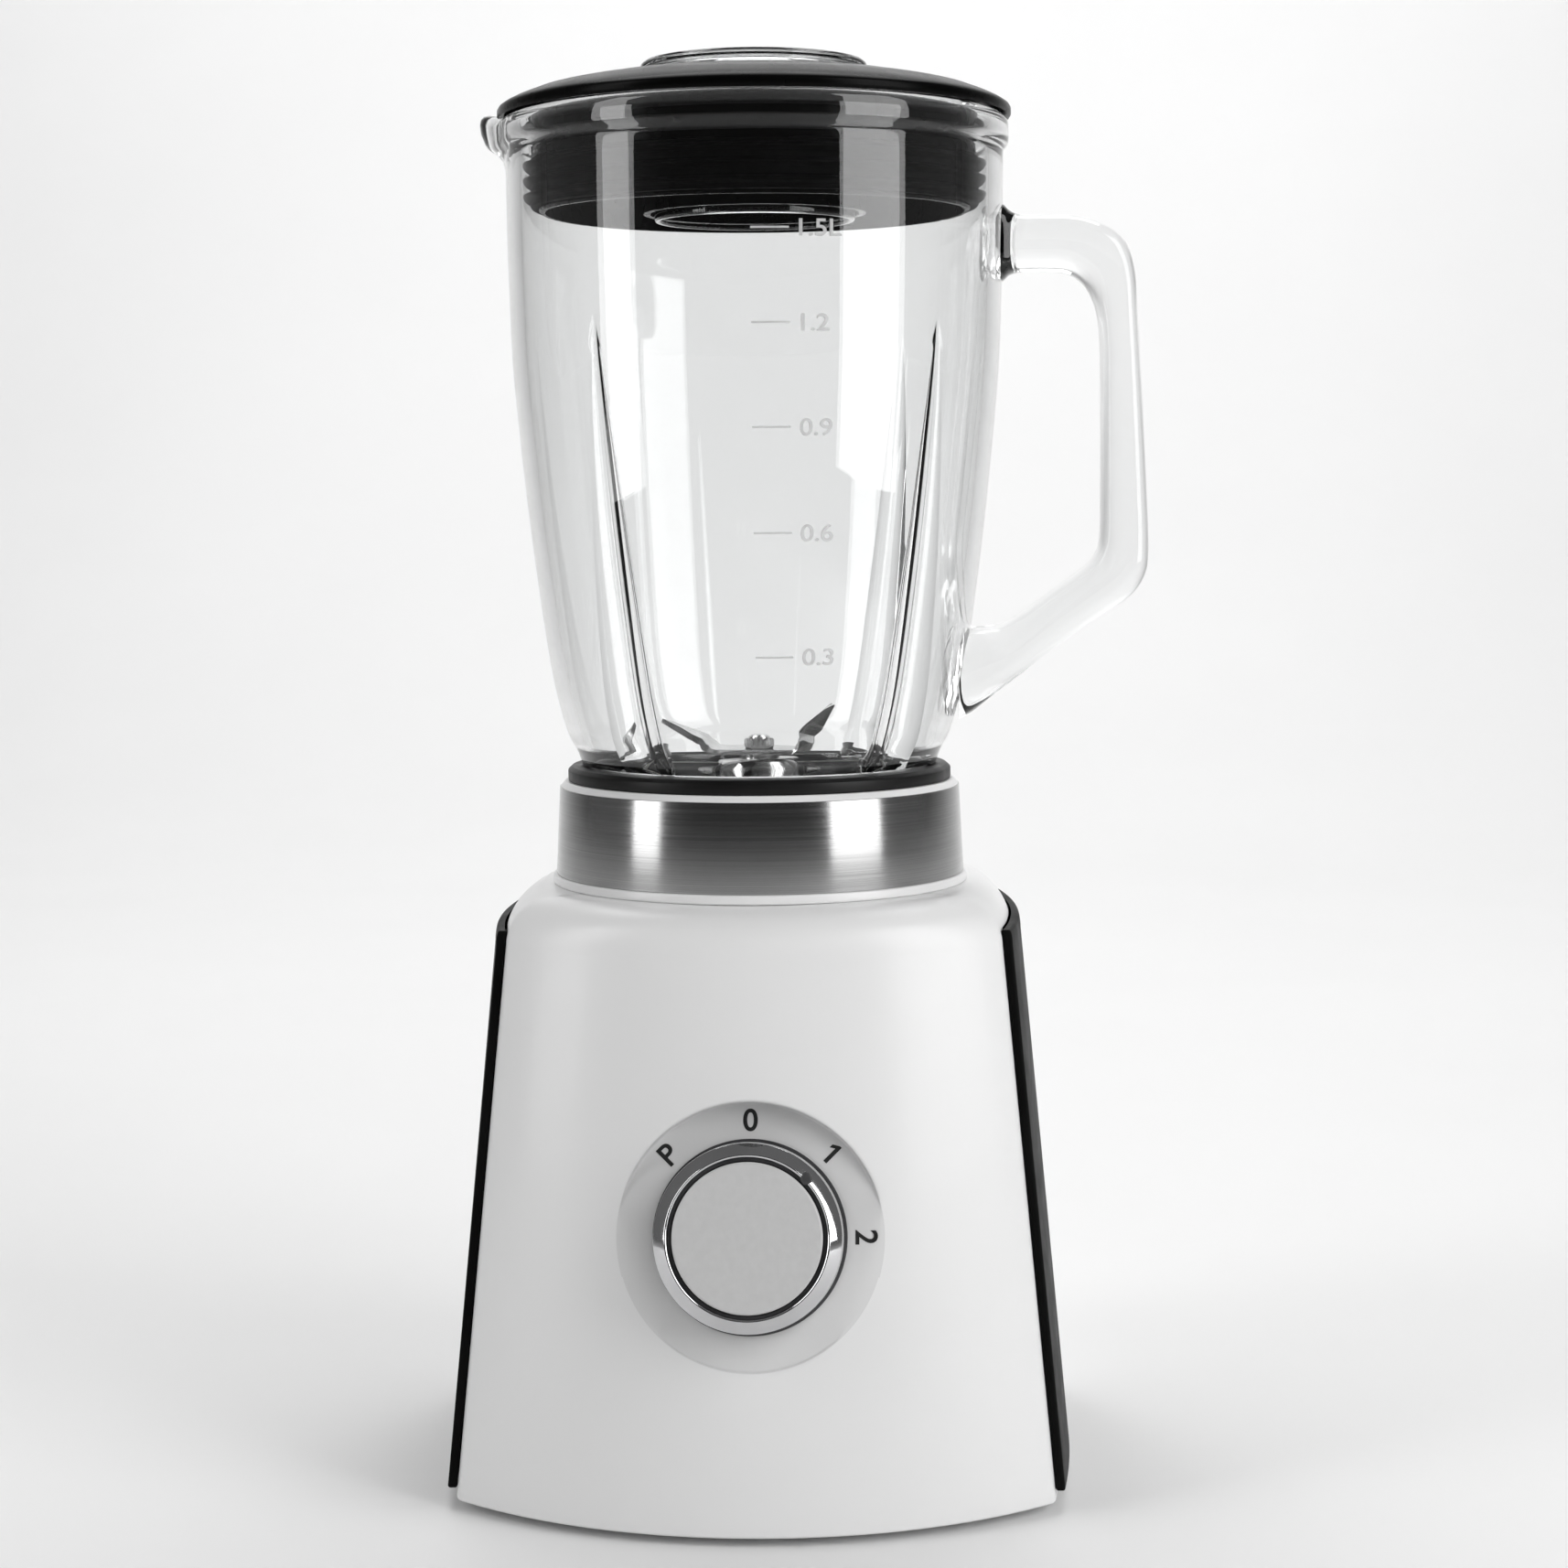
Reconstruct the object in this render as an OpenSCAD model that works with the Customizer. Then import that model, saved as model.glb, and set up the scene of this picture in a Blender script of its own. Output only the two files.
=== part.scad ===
// Countertop blender: motor base, glass jar with a screwed blade unit, lid and measuring cap.
// Millimetres. +Z is up, the knob faces -Y and the jar's handle points along +X.
// The origin is on the worktop, under the middle of the motor shaft.

/* [Base] */
// Half width of the base at its front corners, at the bottom
base_half_width = 78.4; // [77.4:0.1:79]
// How far in front of the shaft the bottom corners stand
base_corner_depth = 57.5; // [57:0.1:58]
// How far the front bulges ahead of the shaft, at the bottom
base_front_depth = 86; // [85:0.1:86.6]
// How far each side bulges past its corners
side_bulge = 3.6; // [3.2:0.1:4]
// Height of the flat top of the base
base_top_z = 159.5; // [159.3:0.1:159.7]
// Wall thickness of the housing
wall = 2.6; // [2.2:0.1:2.8]
// Thickness of the black side panels
panel_t = 2.7; // [2:0.1:3]

/* [Collar and steel band] */
// Outer radius of the steel band at its lower edge
band_r_low = 55.8; // [55.6:0.1:56]
// Outer radius of the steel band at its upper edge
band_r_high = 54.6; // [54.5:0.1:54.8]
// Height of the steel band
band_h = 23.7; // [23.5:0.1:23.8]

/* [Control knob] */
// Height of the dial's centre above the worktop
dial_z = 77.6; // [76:0.1:79]
// Radius of the round dial recess
dial_r = 34; // [33:0.1:35]
// Depth of the recess at its centre
dial_depth = 4.6; // [4.4:0.1:5]
// Outer radius of the chrome knob ring
knob_r = 23.6; // [23:0.1:24.5]
// Height of the knob above the recess floor
knob_h = 17; // [15:0.1:18]

/* [Glass jar] */
// Thickness of the glass
glass_t = 4; // [3.6:0.1:4]
// Height of the jar's rim above the worktop
rim_z = 364.4; // [364:0.1:365]
// Radius of the thick bead round the rim
rim_r = 68.2; // [68:0.1:68.4]
// Thickness of the handle from front to back
handle_depth = 18; // [16:0.5:20]
// Turn of the stirring ribs and of the scale from the front
rib_turn = 4.5; // [0:0.1:10]

/* [Lid and cap] */
// Radius of the lid's flange
lid_r = 68.8; // [68.6:0.1:69]
// Radius of the measuring cap's flange
cap_r = 30.3; // [29.8:0.1:31]
// Height of the top of the measuring cap
cap_top_z = 379.8; // [379:0.1:381]

/* [Motor] */
// Radius of the motor shaft
shaft_r = 4; // [3.8:0.1:4.2]
// Radius of the armature
armature_r = 21; // [20.5:0.1:21.2]
// Height of the laminated stack
stack_h = 36; // [34:0.5:37]

/* [Hidden] */
$fn = 96;
GAP = 0.3;
RUNNING = 0.05;
// A cutter this long on each side of a wall goes right through it
THROUGH = 20;

// Lower edge of the housing above the worktop, and the start of its rounded shoulder
base_low_z = 2.5;
shoulder_r = 12.5;
shoulder_z = base_top_z - shoulder_r;
side_lean = 0.093;
front_lean = 0.133;
corner_lean = 0.105;
front_steps = 20;
side_steps = 6;
shoulder_steps = 6;
plate_t = 3;
foot_r = 9;
foot_x = 52;
foot_y = 49;
post_x = 69.5;
post_y = 48;
post_r = 6;
post_top_z = 30;
screw_r = 1.9;
screw_head_r = 3.4;
thread_play = 0.1;
foot_pin_r = 1.9;
mid_heights = [50, 100];

// Holes for the switch and the cord, and the block behind the dial recess
switch_hole_r = 5.2;
cord_hole_r = 7;
dial_block_low_z = 30;
dial_block_high_z = 120;
dial_block_inset = 0.4;

// Collar stack above the base's flat top
lip_h = 2.5;
rim_h = 1.6;
band_z = base_top_z + lip_h;
band_top_z = band_z + band_h;
band_t = 0.6;
collar_top_z = band_top_z + rim_h;
collar_bore_r = 50.4;
top_hole_r = 51.8;
well_bore_r = 48.7;
well_floor_z = 150;
well_floor_t = 3;
well_hole_r = 11;
well_rib_w = 6;
well_rib_z = 163;
well_rib_reach = 4;
well_screw_reach = 8;

// Blade unit
unit_r = 48.2;
unit_low_z = 156;
unit_floor_z = 176;
unit_floor_top_z = 179.5;
unit_flange_r = 52.3;
unit_flange_z = collar_top_z;
unit_top_z = unit_flange_z + 4.2;
unit_bore_r = 46.6;
gasket_t = 2;
hub_low_r = 13;
hub_top_r = 9;
hub_top_z = 191;
bush_r = 7;
spindle_seal_h = 3;
spindle_r = 3;
lower_blade_z = 192;
blade_t = 1.2;
upper_blade_z = 195.4;
stem_r = 2.4;
spindle_top_z = 199;
nut_hex_r = 4.1;
nut_hex_h = 2.1;
nut_dome_r = 3;
nut_top_z = 199.7;

// Couplers: six dogs each, meshing half a pitch apart
dogs = 6;
dog_angle = 24;
drive_disc_z = 157;
drive_disc_top_z = 163;
drive_dog_top_z = 170;
driven_dog_low_z = 163.5;
driven_disc_z = 171;
driven_disc_top_z = 175.4;
dog_in_r = 8;
dog_out_r = 15;

// Motor heights
stack_z = 62;
stack_top_z = stack_z + stack_h;
stator_r = 42;
stator_half_x = 36;
stator_half_y = 38;
air_gap = 0.6;
coil_in_r = 24.5;
coil_out_r = 33;
coil_h = 7;
lower_bearing_z = 22;
upper_bearing_z = 128;
bearing_h = 7;
bearing_r = 11;
shaft_low_z = 19;
brush_z = 43;
fan_z = 112;
mount_xy = 31;
bolt_xy = 25.5;
bolt_r = 2.2;
bolt_hole_r = 2.3;
slot_angle = 25;
bracket_t = 4;

// Lid and cap
lid_plug_z = 339.5;
lid_hole_r = 28.2;
lid_top_z = 374.5;
plug_r = 58;
cap_low_z = 337.5;
cup_r = 27.4;
cap_wall = 1.6;

// ---------- plan of the base ----------

function half_width(z) = base_half_width - side_lean * (z - base_low_z);
function corner_depth(z) = base_corner_depth - corner_lean * (z - base_low_z);
function front_depth(z) = base_front_depth - front_lean * (z - base_low_z);

// Radius of an arc with this half chord and this rise
function arc_radius(half_chord, rise) = (half_chord * half_chord + rise * rise) / (2 * rise);

// Point at share t (0 to 1) of the arc from [-half_chord, 0] to [half_chord, 0] that rises towards -Y
function arc_point(half_chord, rise, t) =
    let (r = arc_radius(half_chord, rise), a = asin(half_chord / r) * (2 * t - 1))
    [r * sin(a), -(r * cos(a) - (r - rise))];

// Outline from its corner half width, corner depth, front depth and side bulge, counter-clockwise
function outline(w, c, d, b) = concat(
    [for (i = [0 : front_steps - 1]) let (p = arc_point(w, d - c, i / front_steps)) [p[0], p[1] - c]],
    [for (i = [0 : side_steps - 1]) let (p = arc_point(c, b, i / side_steps)) [w - p[1], p[0]]],
    [for (i = [0 : front_steps - 1]) let (p = arc_point(w, d - c, i / front_steps)) [-p[0], c - p[1]]],
    [for (i = [0 : side_steps - 1]) let (p = arc_point(c, b, i / side_steps)) [p[1] - w, -p[0]]]);

// Corner depth after the outline at height z is set in by t all round
function inset_corner(z, t) =
    let (w = half_width(z), d = front_depth(z), r = arc_radius(w, d - corner_depth(z)))
    sqrt((r - t) * (r - t) - (w - t) * (w - t)) - (r - d);

// Outline of the base at height z, set in by t
function base_outline(z, t) =
    outline(half_width(z) - t, inset_corner(z, t), front_depth(z) - t, side_bulge);

function lifted(points, z) = [for (p = points) [p[0], p[1], z]];

// The same number of points as an outline, moved out or in to a circle
function circled(points, r) = [for (p = points) r * p / norm(p)];

outline_points = 2 * (front_steps + side_steps);

// A closed skin through rings of n points each, where the last ring joins the first
module ring_skin(rings, n) {
    count = len(rings);
    polyhedron(
        points = [for (r = rings) each r],
        faces = [for (i = [0 : count - 1]) for (j = [0 : n - 1])
            let (a = i * n, b = ((i + 1) % count) * n, k = (j + 1) % n)
            each [[a + j, b + j, b + k], [a + j, b + k, a + k]]]);
}

// A capped skin through rings of n points each
module capped_skin(rings, n) {
    count = len(rings);
    polyhedron(
        points = [for (r = rings) each r],
        faces = concat(
            [[for (j = [0 : n - 1]) j]],
            [for (i = [0 : count - 2]) for (j = [0 : n - 1])
                let (a = i * n, b = (i + 1) * n, k = (j + 1) % n)
                each [[a + j, b + j, b + k], [a + j, b + k, a + k]]],
            [[for (j = [n - 1 : -1 : 0]) (count - 1) * n + j]]));
}

// ---------- helpers ----------

module tube(r_out, r_in, h) {
    difference() {
        cylinder(r = r_out, h = h);
        translate([0, 0, -1]) cylinder(r = r_in, h = h + 2);
    }
}

module at_four(x, y) {
    for (sx = [-1, 1]) for (sy = [-1, 1]) translate([sx * x, sy * y, 0]) children();
}

module sector(r_in, r_out, h, angle) {
    rotate([0, 0, -angle / 2]) rotate_extrude(angle = angle) translate([r_in, 0]) square([r_out - r_in, h]);
}

// Moves to the dial: origin at the recess floor's centre, +Z out of the front
dial_tilt = 12.8;
module on_dial() {
    translate([0, -front_depth(dial_z), dial_z]) rotate([90 - dial_tilt, 0, 0])
        translate([0, 0, -dial_depth]) children();
}

cord_z = 24;
cord_y = front_depth(cord_z);
module at_cord() {
    translate([0, cord_y, cord_z]) rotate([-90, 0, 0]) children();
}

// ---------- base ----------

module housing_shell() {
    inner_top_z = base_top_z - wall;
    outer_heights = concat([base_low_z], mid_heights, [shoulder_z]);
    outer = [for (z = outer_heights) lifted(base_outline(z, 0), z)];
    shoulder = [for (i = [1 : shoulder_steps]) let (a = 90 * i / shoulder_steps)
        lifted(base_outline(shoulder_z, shoulder_r * (1 - cos(a))), shoulder_z + shoulder_r * sin(a))];
    top_edge = base_outline(shoulder_z, shoulder_r);
    inner_r = shoulder_r - wall;
    inner_shoulder = [for (i = [shoulder_steps / 2 : -1 : 0]) let (a = 180 * i / shoulder_steps)
        lifted(base_outline(shoulder_z, wall + inner_r * (1 - cos(a))), shoulder_z + inner_r * sin(a))];
    inner = [for (z = [mid_heights[1], mid_heights[0], base_low_z]) lifted(base_outline(z, wall), z)];
    top_hole = circled(top_edge, top_hole_r);
    ring_skin(concat(outer, shoulder, [lifted(top_hole, base_top_z), lifted(top_hole, inner_top_z)],
        inner_shoulder, inner), outline_points);
}

module housing() {
    color("white") difference() {
        union() {
            housing_shell();
            intersection() {
                capped_skin([for (z = [dial_block_low_z, dial_block_high_z])
                    lifted(base_outline(z, dial_block_inset), z)], outline_points);
                on_dial() translate([0, 0, -wall]) cylinder(r = dial_r + 2, h = wall + dial_depth + 2);
            }
            at_four(post_x, post_y) translate([0, 0, base_low_z + plate_t])
                cylinder(r = post_r, h = post_top_z - base_low_z - plate_t);
        }
        on_dial() cylinder(r = dial_r, h = THROUGH);
        on_dial() translate([0, 0, -THROUGH]) cylinder(r = switch_hole_r, h = 2 * THROUGH);
        at_cord() translate([0, 0, -THROUGH]) cylinder(r = cord_hole_r, h = 2 * THROUGH);
        at_four(post_x, post_y) cylinder(r = screw_r, h = post_top_z - 2 * screw_r);
    }
}

module collar() {
    color("white") rotate_extrude() polygon([
        [collar_bore_r, base_top_z], [band_r_low + 1, base_top_z],
        [band_r_low + 0.7, band_z], [band_r_low - band_t, band_z],
        [band_r_high - band_t, band_top_z], [band_r_high - 0.2, band_top_z],
        [band_r_high - 1, collar_top_z - 0.5], [band_r_high - 2, collar_top_z],
        [collar_bore_r, collar_top_z]]);
}

module steel_band() {
    color("silver") rotate_extrude() polygon([
        [band_r_low - band_t, band_z], [band_r_low, band_z],
        [band_r_high, band_top_z], [band_r_high - band_t, band_top_z]]);
}

module jar_well() {
    color("dimgray") difference() {
        translate([0, 0, well_floor_z]) cylinder(r = collar_bore_r, h = collar_top_z - 1 - well_floor_z);
        translate([0, 0, well_floor_z + well_floor_t]) difference() {
            cylinder(r = well_bore_r, h = collar_top_z - well_floor_z);
            for (a = [0 : 90 : 270]) rotate([0, 0, a])
                translate([unit_r - well_rib_reach, -well_rib_w / 2, -1])
                    cube([2 * well_rib_reach, well_rib_w, well_rib_z - well_floor_z - 2]);
        }
        translate([0, 0, well_floor_z - 1]) cylinder(r = well_hole_r, h = well_floor_t + 2);
        at_four(mount_xy, mount_xy) translate([0, 0, well_floor_z - 1])
            cylinder(r = screw_r, h = well_floor_t + 2);
    }
}

// One black side panel, on +X: a skin of even thickness over the bulged side
panel_low_z = 5.5;
panel_inset = 0.6;
panel_seat = 0.12;
panel_bands = 4;
// How far round the shoulder's curve the panel climbs
panel_top_angle = 18;

// One side of the panel's plan at height z, from front to back, stood off from the housing
function panel_side(z, set_in, off) =
    let (w = half_width(z) - set_in, c = corner_depth(z) - panel_inset, n = 2 * side_steps)
    [for (i = [0 : n]) let (p = arc_point(c, side_bulge, i / n)) [w - p[1] + off, p[0]]];

function backwards(points) = [for (i = [len(points) - 1 : -1 : 0]) points[i]];

function panel_ring(z, set_in) =
    concat(panel_side(z, set_in, panel_seat), backwards(panel_side(z, set_in, panel_t)));

module side_panel() {
    rise = (shoulder_z - panel_low_z) / panel_bands;
    flat = [for (i = [0 : panel_bands]) let (z = panel_low_z + rise * i) lifted(panel_ring(z, 0), z)];
    rounded = [for (a = [panel_top_angle / 2, panel_top_angle])
        lifted(panel_ring(shoulder_z, shoulder_r * (1 - cos(a))), shoulder_z + shoulder_r * sin(a))];
    capped_skin(concat(flat, rounded), 4 * side_steps + 2);
}

module right_side_panel() {
    color([0.03, 0.03, 0.03]) side_panel();
}

module left_side_panel() {
    color([0.03, 0.03, 0.03]) rotate([0, 0, 180]) side_panel();
}

module base_plate() {
    inset = wall + GAP;
    vent_w = 3;
    vent_l = 56;
    vent_pitch = 7;
    vents_each_side = 5;
    color("white") difference() {
        translate([0, 0, base_low_z]) linear_extrude(plate_t)
            polygon(base_outline(base_low_z + plate_t, inset));
        for (i = [-vents_each_side : vents_each_side])
            translate([i * vent_pitch - vent_w / 2, -vent_l / 2, 0]) cube([vent_w, vent_l, THROUGH]);
        at_four(post_x, post_y) cylinder(r = screw_r + GAP, h = THROUGH);
        at_four(foot_x, foot_y) cylinder(r = foot_pin_r + thread_play, h = THROUGH);
    }
}

module rubber_feet() {
    pin_head_r = 3;
    pin_head_h = 1.2;
    color([0.12, 0.12, 0.12]) at_four(foot_x, foot_y) {
        cylinder(r = foot_r, h = base_low_z);
        cylinder(r = foot_pin_r, h = base_low_z + plate_t);
        translate([0, 0, base_low_z + plate_t]) cylinder(r = pin_head_r, h = pin_head_h);
    }
}

module base_screws() {
    head_h = 1.4;
    length = 21;
    color("gray") at_four(post_x, post_y) {
        translate([0, 0, base_low_z - head_h]) cylinder(r = screw_head_r, h = head_h);
        translate([0, 0, base_low_z - 1]) cylinder(r = screw_r - thread_play, h = length + 1);
    }
}

module well_screws() {
    head_h = 2;
    color("gray") at_four(mount_xy, mount_xy) {
        translate([0, 0, well_floor_z + well_floor_t]) cylinder(r = screw_head_r, h = head_h);
        translate([0, 0, well_floor_z - well_screw_reach])
            cylinder(r = screw_r - thread_play, h = well_screw_reach + well_floor_t + 1);
    }
}

cord_bore_r = 3.6;
module cord_inlet() {
    depth = 8;
    flange_r = 8.6;
    flange_z = 1.2;
    color([0.1, 0.1, 0.1]) at_cord() difference() {
        union() {
            translate([0, 0, -depth]) cylinder(r = cord_hole_r - 0.2, h = depth + 2);
            translate([0, 0, flange_z]) cylinder(r = flange_r, h = 2);
            translate([0, 0, -depth]) cylinder(r = flange_r, h = 2);
        }
        translate([0, 0, -THROUGH]) cylinder(r = cord_bore_r, h = 2 * THROUGH);
    }
}

// ---------- switch and knob ----------

switch_bush_r = 5;
switch_spindle_r = 3;
switch_well = 15;
module switch_body() {
    body_w = 28;
    body_h = 16;
    tag_t = 0.8;
    tag_pitch = 9;
    color("ivory") on_dial() difference() {
        union() {
            translate([-body_w / 2, -body_w / 2, -wall - body_h]) cube([body_w, body_w, body_h - GAP]);
            translate([0, 0, -wall - 2]) cylinder(r = switch_bush_r, h = wall + 4);
            for (x = [-tag_pitch, 0, tag_pitch]) translate([x - 1, -body_w / 2 - 3, -wall - 13])
                cube([2, 4, tag_t]);
        }
        translate([0, 0, -wall - switch_well]) cylinder(r = switch_spindle_r + RUNNING, h = 2 * THROUGH);
    }
}

module switch_nut() {
    nut_r = 7.5;
    nut_h = 1.8;
    color("silver") on_dial() difference() {
        cylinder(r = nut_r, h = nut_h, $fn = 6);
        translate([0, 0, -1]) cylinder(r = switch_bush_r, h = nut_h + 2);
    }
}

// The flat of the spindle's D section: its distance from the axis, and where it starts
spindle_flat = 1.8;
spindle_flat_z = 3;
switch_spindle_top = 9;

module flat_cutter(play) {
    translate([spindle_flat + play, -switch_bush_r, spindle_flat_z])
        cube([switch_bush_r, 2 * switch_bush_r, 2 * switch_bush_r]);
}

module switch_spindle() {
    low = wall + switch_well - 1;
    color("gray") on_dial() difference() {
        translate([0, 0, -low]) cylinder(r = switch_spindle_r, h = low + switch_spindle_top);
        flat_cutter(0);
    }
}

knob_gap = 0.4;
knob_disc_r = 19.1;
knob_core_r = 20.6;
knob_disc_seat = 2;
knob_turn = -45;
pointer_half = 1;
pointer_low = 3;
pointer_play = 0.1;

module knob_core() {
    rim_drop = 0.8;
    nut_space_r = 9;
    nut_space_h = 2.4;
    color([0.15, 0.15, 0.16]) on_dial() rotate([0, 0, knob_turn]) difference() {
        union() {
            translate([0, 0, knob_gap]) cylinder(r = knob_core_r, h = knob_h - rim_drop - knob_gap);
            translate([-pointer_half, knob_core_r - 0.5, knob_h - pointer_low])
                cube([2 * pointer_half, 2.6, pointer_low - rim_drop]);
        }
        translate([0, 0, -1]) cylinder(r = nut_space_r, h = nut_space_h + 1);
        rotate([0, 0, -knob_turn]) difference() {
            translate([0, 0, -1]) cylinder(r = switch_spindle_r + RUNNING, h = switch_spindle_top + 1.4);
            flat_cutter(RUNNING);
        }
        translate([0, 0, knob_h - knob_disc_seat]) cylinder(r = knob_disc_r, h = 2 * knob_disc_seat);
    }
}

module knob_ring() {
    color("silver") on_dial() rotate([0, 0, knob_turn]) difference() {
        rotate_extrude() polygon([
            [knob_core_r, knob_gap], [knob_r, knob_gap], [knob_r, knob_h - 2.6],
            [knob_r - 0.5, knob_h - 1.4], [knob_r - 1.5, knob_h - 0.4], [knob_r - 2.4, knob_h - 0.1],
            [knob_core_r, knob_h - 0.3]]);
        translate([-pointer_half - pointer_play, knob_core_r - 1, knob_h - pointer_low - pointer_play])
            cube([2 * (pointer_half + pointer_play), 3.2, 2 * pointer_low]);
    }
}

module knob_cap() {
    disc_t = 1.8;
    play = 0.1;
    color("lightgray") on_dial() translate([0, 0, knob_h - knob_disc_seat])
        cylinder(r = knob_disc_r - play, h = disc_t);
}

module suppression_capacitor() {
    size = [26, 10, 18];
    back_y = 58;
    low_z = 6;
    color("gold") translate([-size[0] / 2, back_y - size[1], low_z]) cube(size);
}

// ---------- motor ----------

module motor_stator() {
    slot_play = 0.4;
    slot_width_angle = 22;
    color("dimgray") translate([0, 0, stack_z]) difference() {
        intersection() {
            cylinder(r = stator_r, h = stack_h);
            translate([-stator_half_x, -stator_half_y, 0])
                cube([2 * stator_half_x, 2 * stator_half_y, stack_h]);
        }
        translate([0, 0, -1]) cylinder(r = armature_r + air_gap, h = stack_h + 2);
        for (side = [0, 180]) for (s = [-1, 1]) rotate([0, 0, side + s * slot_angle]) translate([0, 0, -1])
            sector(armature_r, coil_out_r + slot_play, stack_h + 2, slot_width_angle);
        at_four(bolt_xy, bolt_xy) translate([0, 0, -1]) cylinder(r = bolt_hole_r, h = stack_h + 2);
    }
}

// Each field coil runs through two stator slots and across both ends of the stack
module field_coils() {
    end_play = 0.2;
    side_play = 0.8;
    end_angle = 62;
    side_angle = 12;
    color([0.72, 0.4, 0.16]) for (a = [0, 180]) rotate([0, 0, a]) {
        for (z = [stack_z - coil_h - end_play, stack_top_z + end_play])
            translate([0, 0, z]) sector(coil_in_r, coil_out_r, coil_h, end_angle);
        for (s = [-1, 1]) rotate([0, 0, s * slot_angle]) translate([0, 0, stack_z - 1])
            sector(coil_in_r + side_play, coil_out_r - side_play, stack_h + 2, side_angle);
    }
}

module lower_motor_bracket() {
    disc_r = 41;
    vent_r = 8;
    vent_y = 27;
    color("lightgray") translate([0, 0, lower_bearing_z]) difference() {
        union() {
            cylinder(r = disc_r, h = bracket_t);
            cylinder(r = bearing_r + 3, h = bearing_h);
        }
        translate([0, 0, -1]) cylinder(r = bearing_r, h = bearing_h + 2);
        at_four(bolt_xy, bolt_xy) translate([0, 0, -1]) cylinder(r = bolt_hole_r, h = bracket_t + 2);
        for (y = [-vent_y, vent_y]) translate([0, y, -1]) cylinder(r = vent_r, h = bracket_t + 2);
    }
}

// A cross of two arms with a bearing boss
module upper_motor_bracket() {
    arm_w = 12;
    arm_l = 98;
    color("lightgray") translate([0, 0, upper_bearing_z]) difference() {
        union() {
            cylinder(r = bearing_r + 3, h = bearing_h);
            for (a = [45, 135]) rotate([0, 0, a])
                translate([-arm_l / 2, -arm_w / 2, 0]) cube([arm_l, arm_w, bracket_t]);
        }
        translate([0, 0, -1]) cylinder(r = bearing_r, h = bearing_h + 2);
        at_four(bolt_xy, bolt_xy) translate([0, 0, -1]) cylinder(r = bolt_hole_r, h = bracket_t + 2);
    }
}

module ball_bearing(z) {
    translate([0, 0, z]) tube(bearing_r, shaft_r + RUNNING, bearing_h);
}

module upper_bearing() {
    color("silver") ball_bearing(upper_bearing_z);
}

module lower_bearing() {
    color("silver") ball_bearing(lower_bearing_z);
}

// Long bolts that clamp the brackets to the stack, with spacer sleeves round them
module motor_bolts() {
    low_z = lower_bearing_z + bracket_t;
    high_z = upper_bearing_z + bracket_t;
    head_r = 3.2;
    head_h = 3;
    nut_h = 2.4;
    sleeve_r = 3;
    color("gray") at_four(bolt_xy, bolt_xy) {
        translate([0, 0, lower_bearing_z - 2]) cylinder(r = bolt_r, h = high_z + 4 - lower_bearing_z);
        translate([0, 0, lower_bearing_z - head_h]) cylinder(r = head_r, h = head_h);
        translate([0, 0, high_z]) cylinder(r = head_r, h = nut_h);
        translate([0, 0, low_z]) cylinder(r = sleeve_r, h = stack_z - low_z);
        translate([0, 0, stack_top_z]) cylinder(r = sleeve_r, h = upper_bearing_z - stack_top_z);
    }
}

// Rubber pillars between the upper bracket and the well, under the well's screws
module motor_mounts() {
    mount_z = upper_bearing_z + bracket_t;
    mount_r = 4.4;
    bore_depth = well_screw_reach + 1;
    color([0.1, 0.1, 0.1]) at_four(mount_xy, mount_xy) difference() {
        translate([0, 0, mount_z]) cylinder(r = mount_r, h = well_floor_z - mount_z);
        translate([0, 0, well_floor_z - bore_depth])
            cylinder(r = screw_r - thread_play, h = bore_depth + 2);
    }
}

// Brushes: their section, where they touch the commutator, and their holders
brush = [10, 7, 9];
brush_in = 11.3;
brush_play = 0.1;
commutator_r = 11;

// A block that starts x_in from the axis along +X, centred on the brush's line
module brush_block(x_in, size) {
    translate([x_in, -size[1] / 2, brush_z - size[2] / 2]) cube(size);
}

module brush_holders() {
    box = [19, 10, 12];
    box_in = 13;
    bore_end = 30.8;
    stand_in = 15;
    stand_l = 14;
    stand_z = lower_bearing_z + bracket_t;
    bore = [bore_end - box_in + 3, brush[1] + 2 * brush_play, brush[2] + 2 * brush_play];
    color("goldenrod") for (a = [0, 180]) rotate([0, 0, a]) difference() {
        union() {
            brush_block(box_in, box);
            translate([stand_in, -box[1] / 2, stand_z]) cube([stand_l, box[1], brush_z - 5 - stand_z]);
        }
        brush_block(box_in - 3, bore);
    }
}

module carbon_brushes() {
    color([0.2, 0.2, 0.2]) for (a = [0, 180]) rotate([0, 0, a]) brush_block(brush_in, brush);
}

// A wire wound on +X, as rings of points swept along the helix
module coil_spring(r, wire_r, turns, length) {
    sides = 6;
    steps_a_turn = 12;
    steps = steps_a_turn * turns;
    rings = [for (i = [0 : steps]) let (a = 360 * i / steps_a_turn, x = length * i / steps)
        [for (k = [0 : sides - 1]) let (b = 360 * k / sides)
            [x + wire_r * sin(b), (r + wire_r * cos(b)) * cos(a), (r + wire_r * cos(b)) * sin(a)]]];
    capped_skin(rings, sides);
}

module brush_springs() {
    spring_in = brush_in + brush[0] + 0.7;
    color("silver") for (a = [0, 180]) rotate([0, 0, a])
        translate([spring_in, 0, brush_z]) coil_spring(r = 2.6, wire_r = 0.4, turns = 5, length = 8);
}

module motor_shaft() {
    color("silver") translate([0, 0, shaft_low_z])
        cylinder(r = shaft_r, h = drive_disc_top_z - 1 - shaft_low_z);
}

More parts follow.
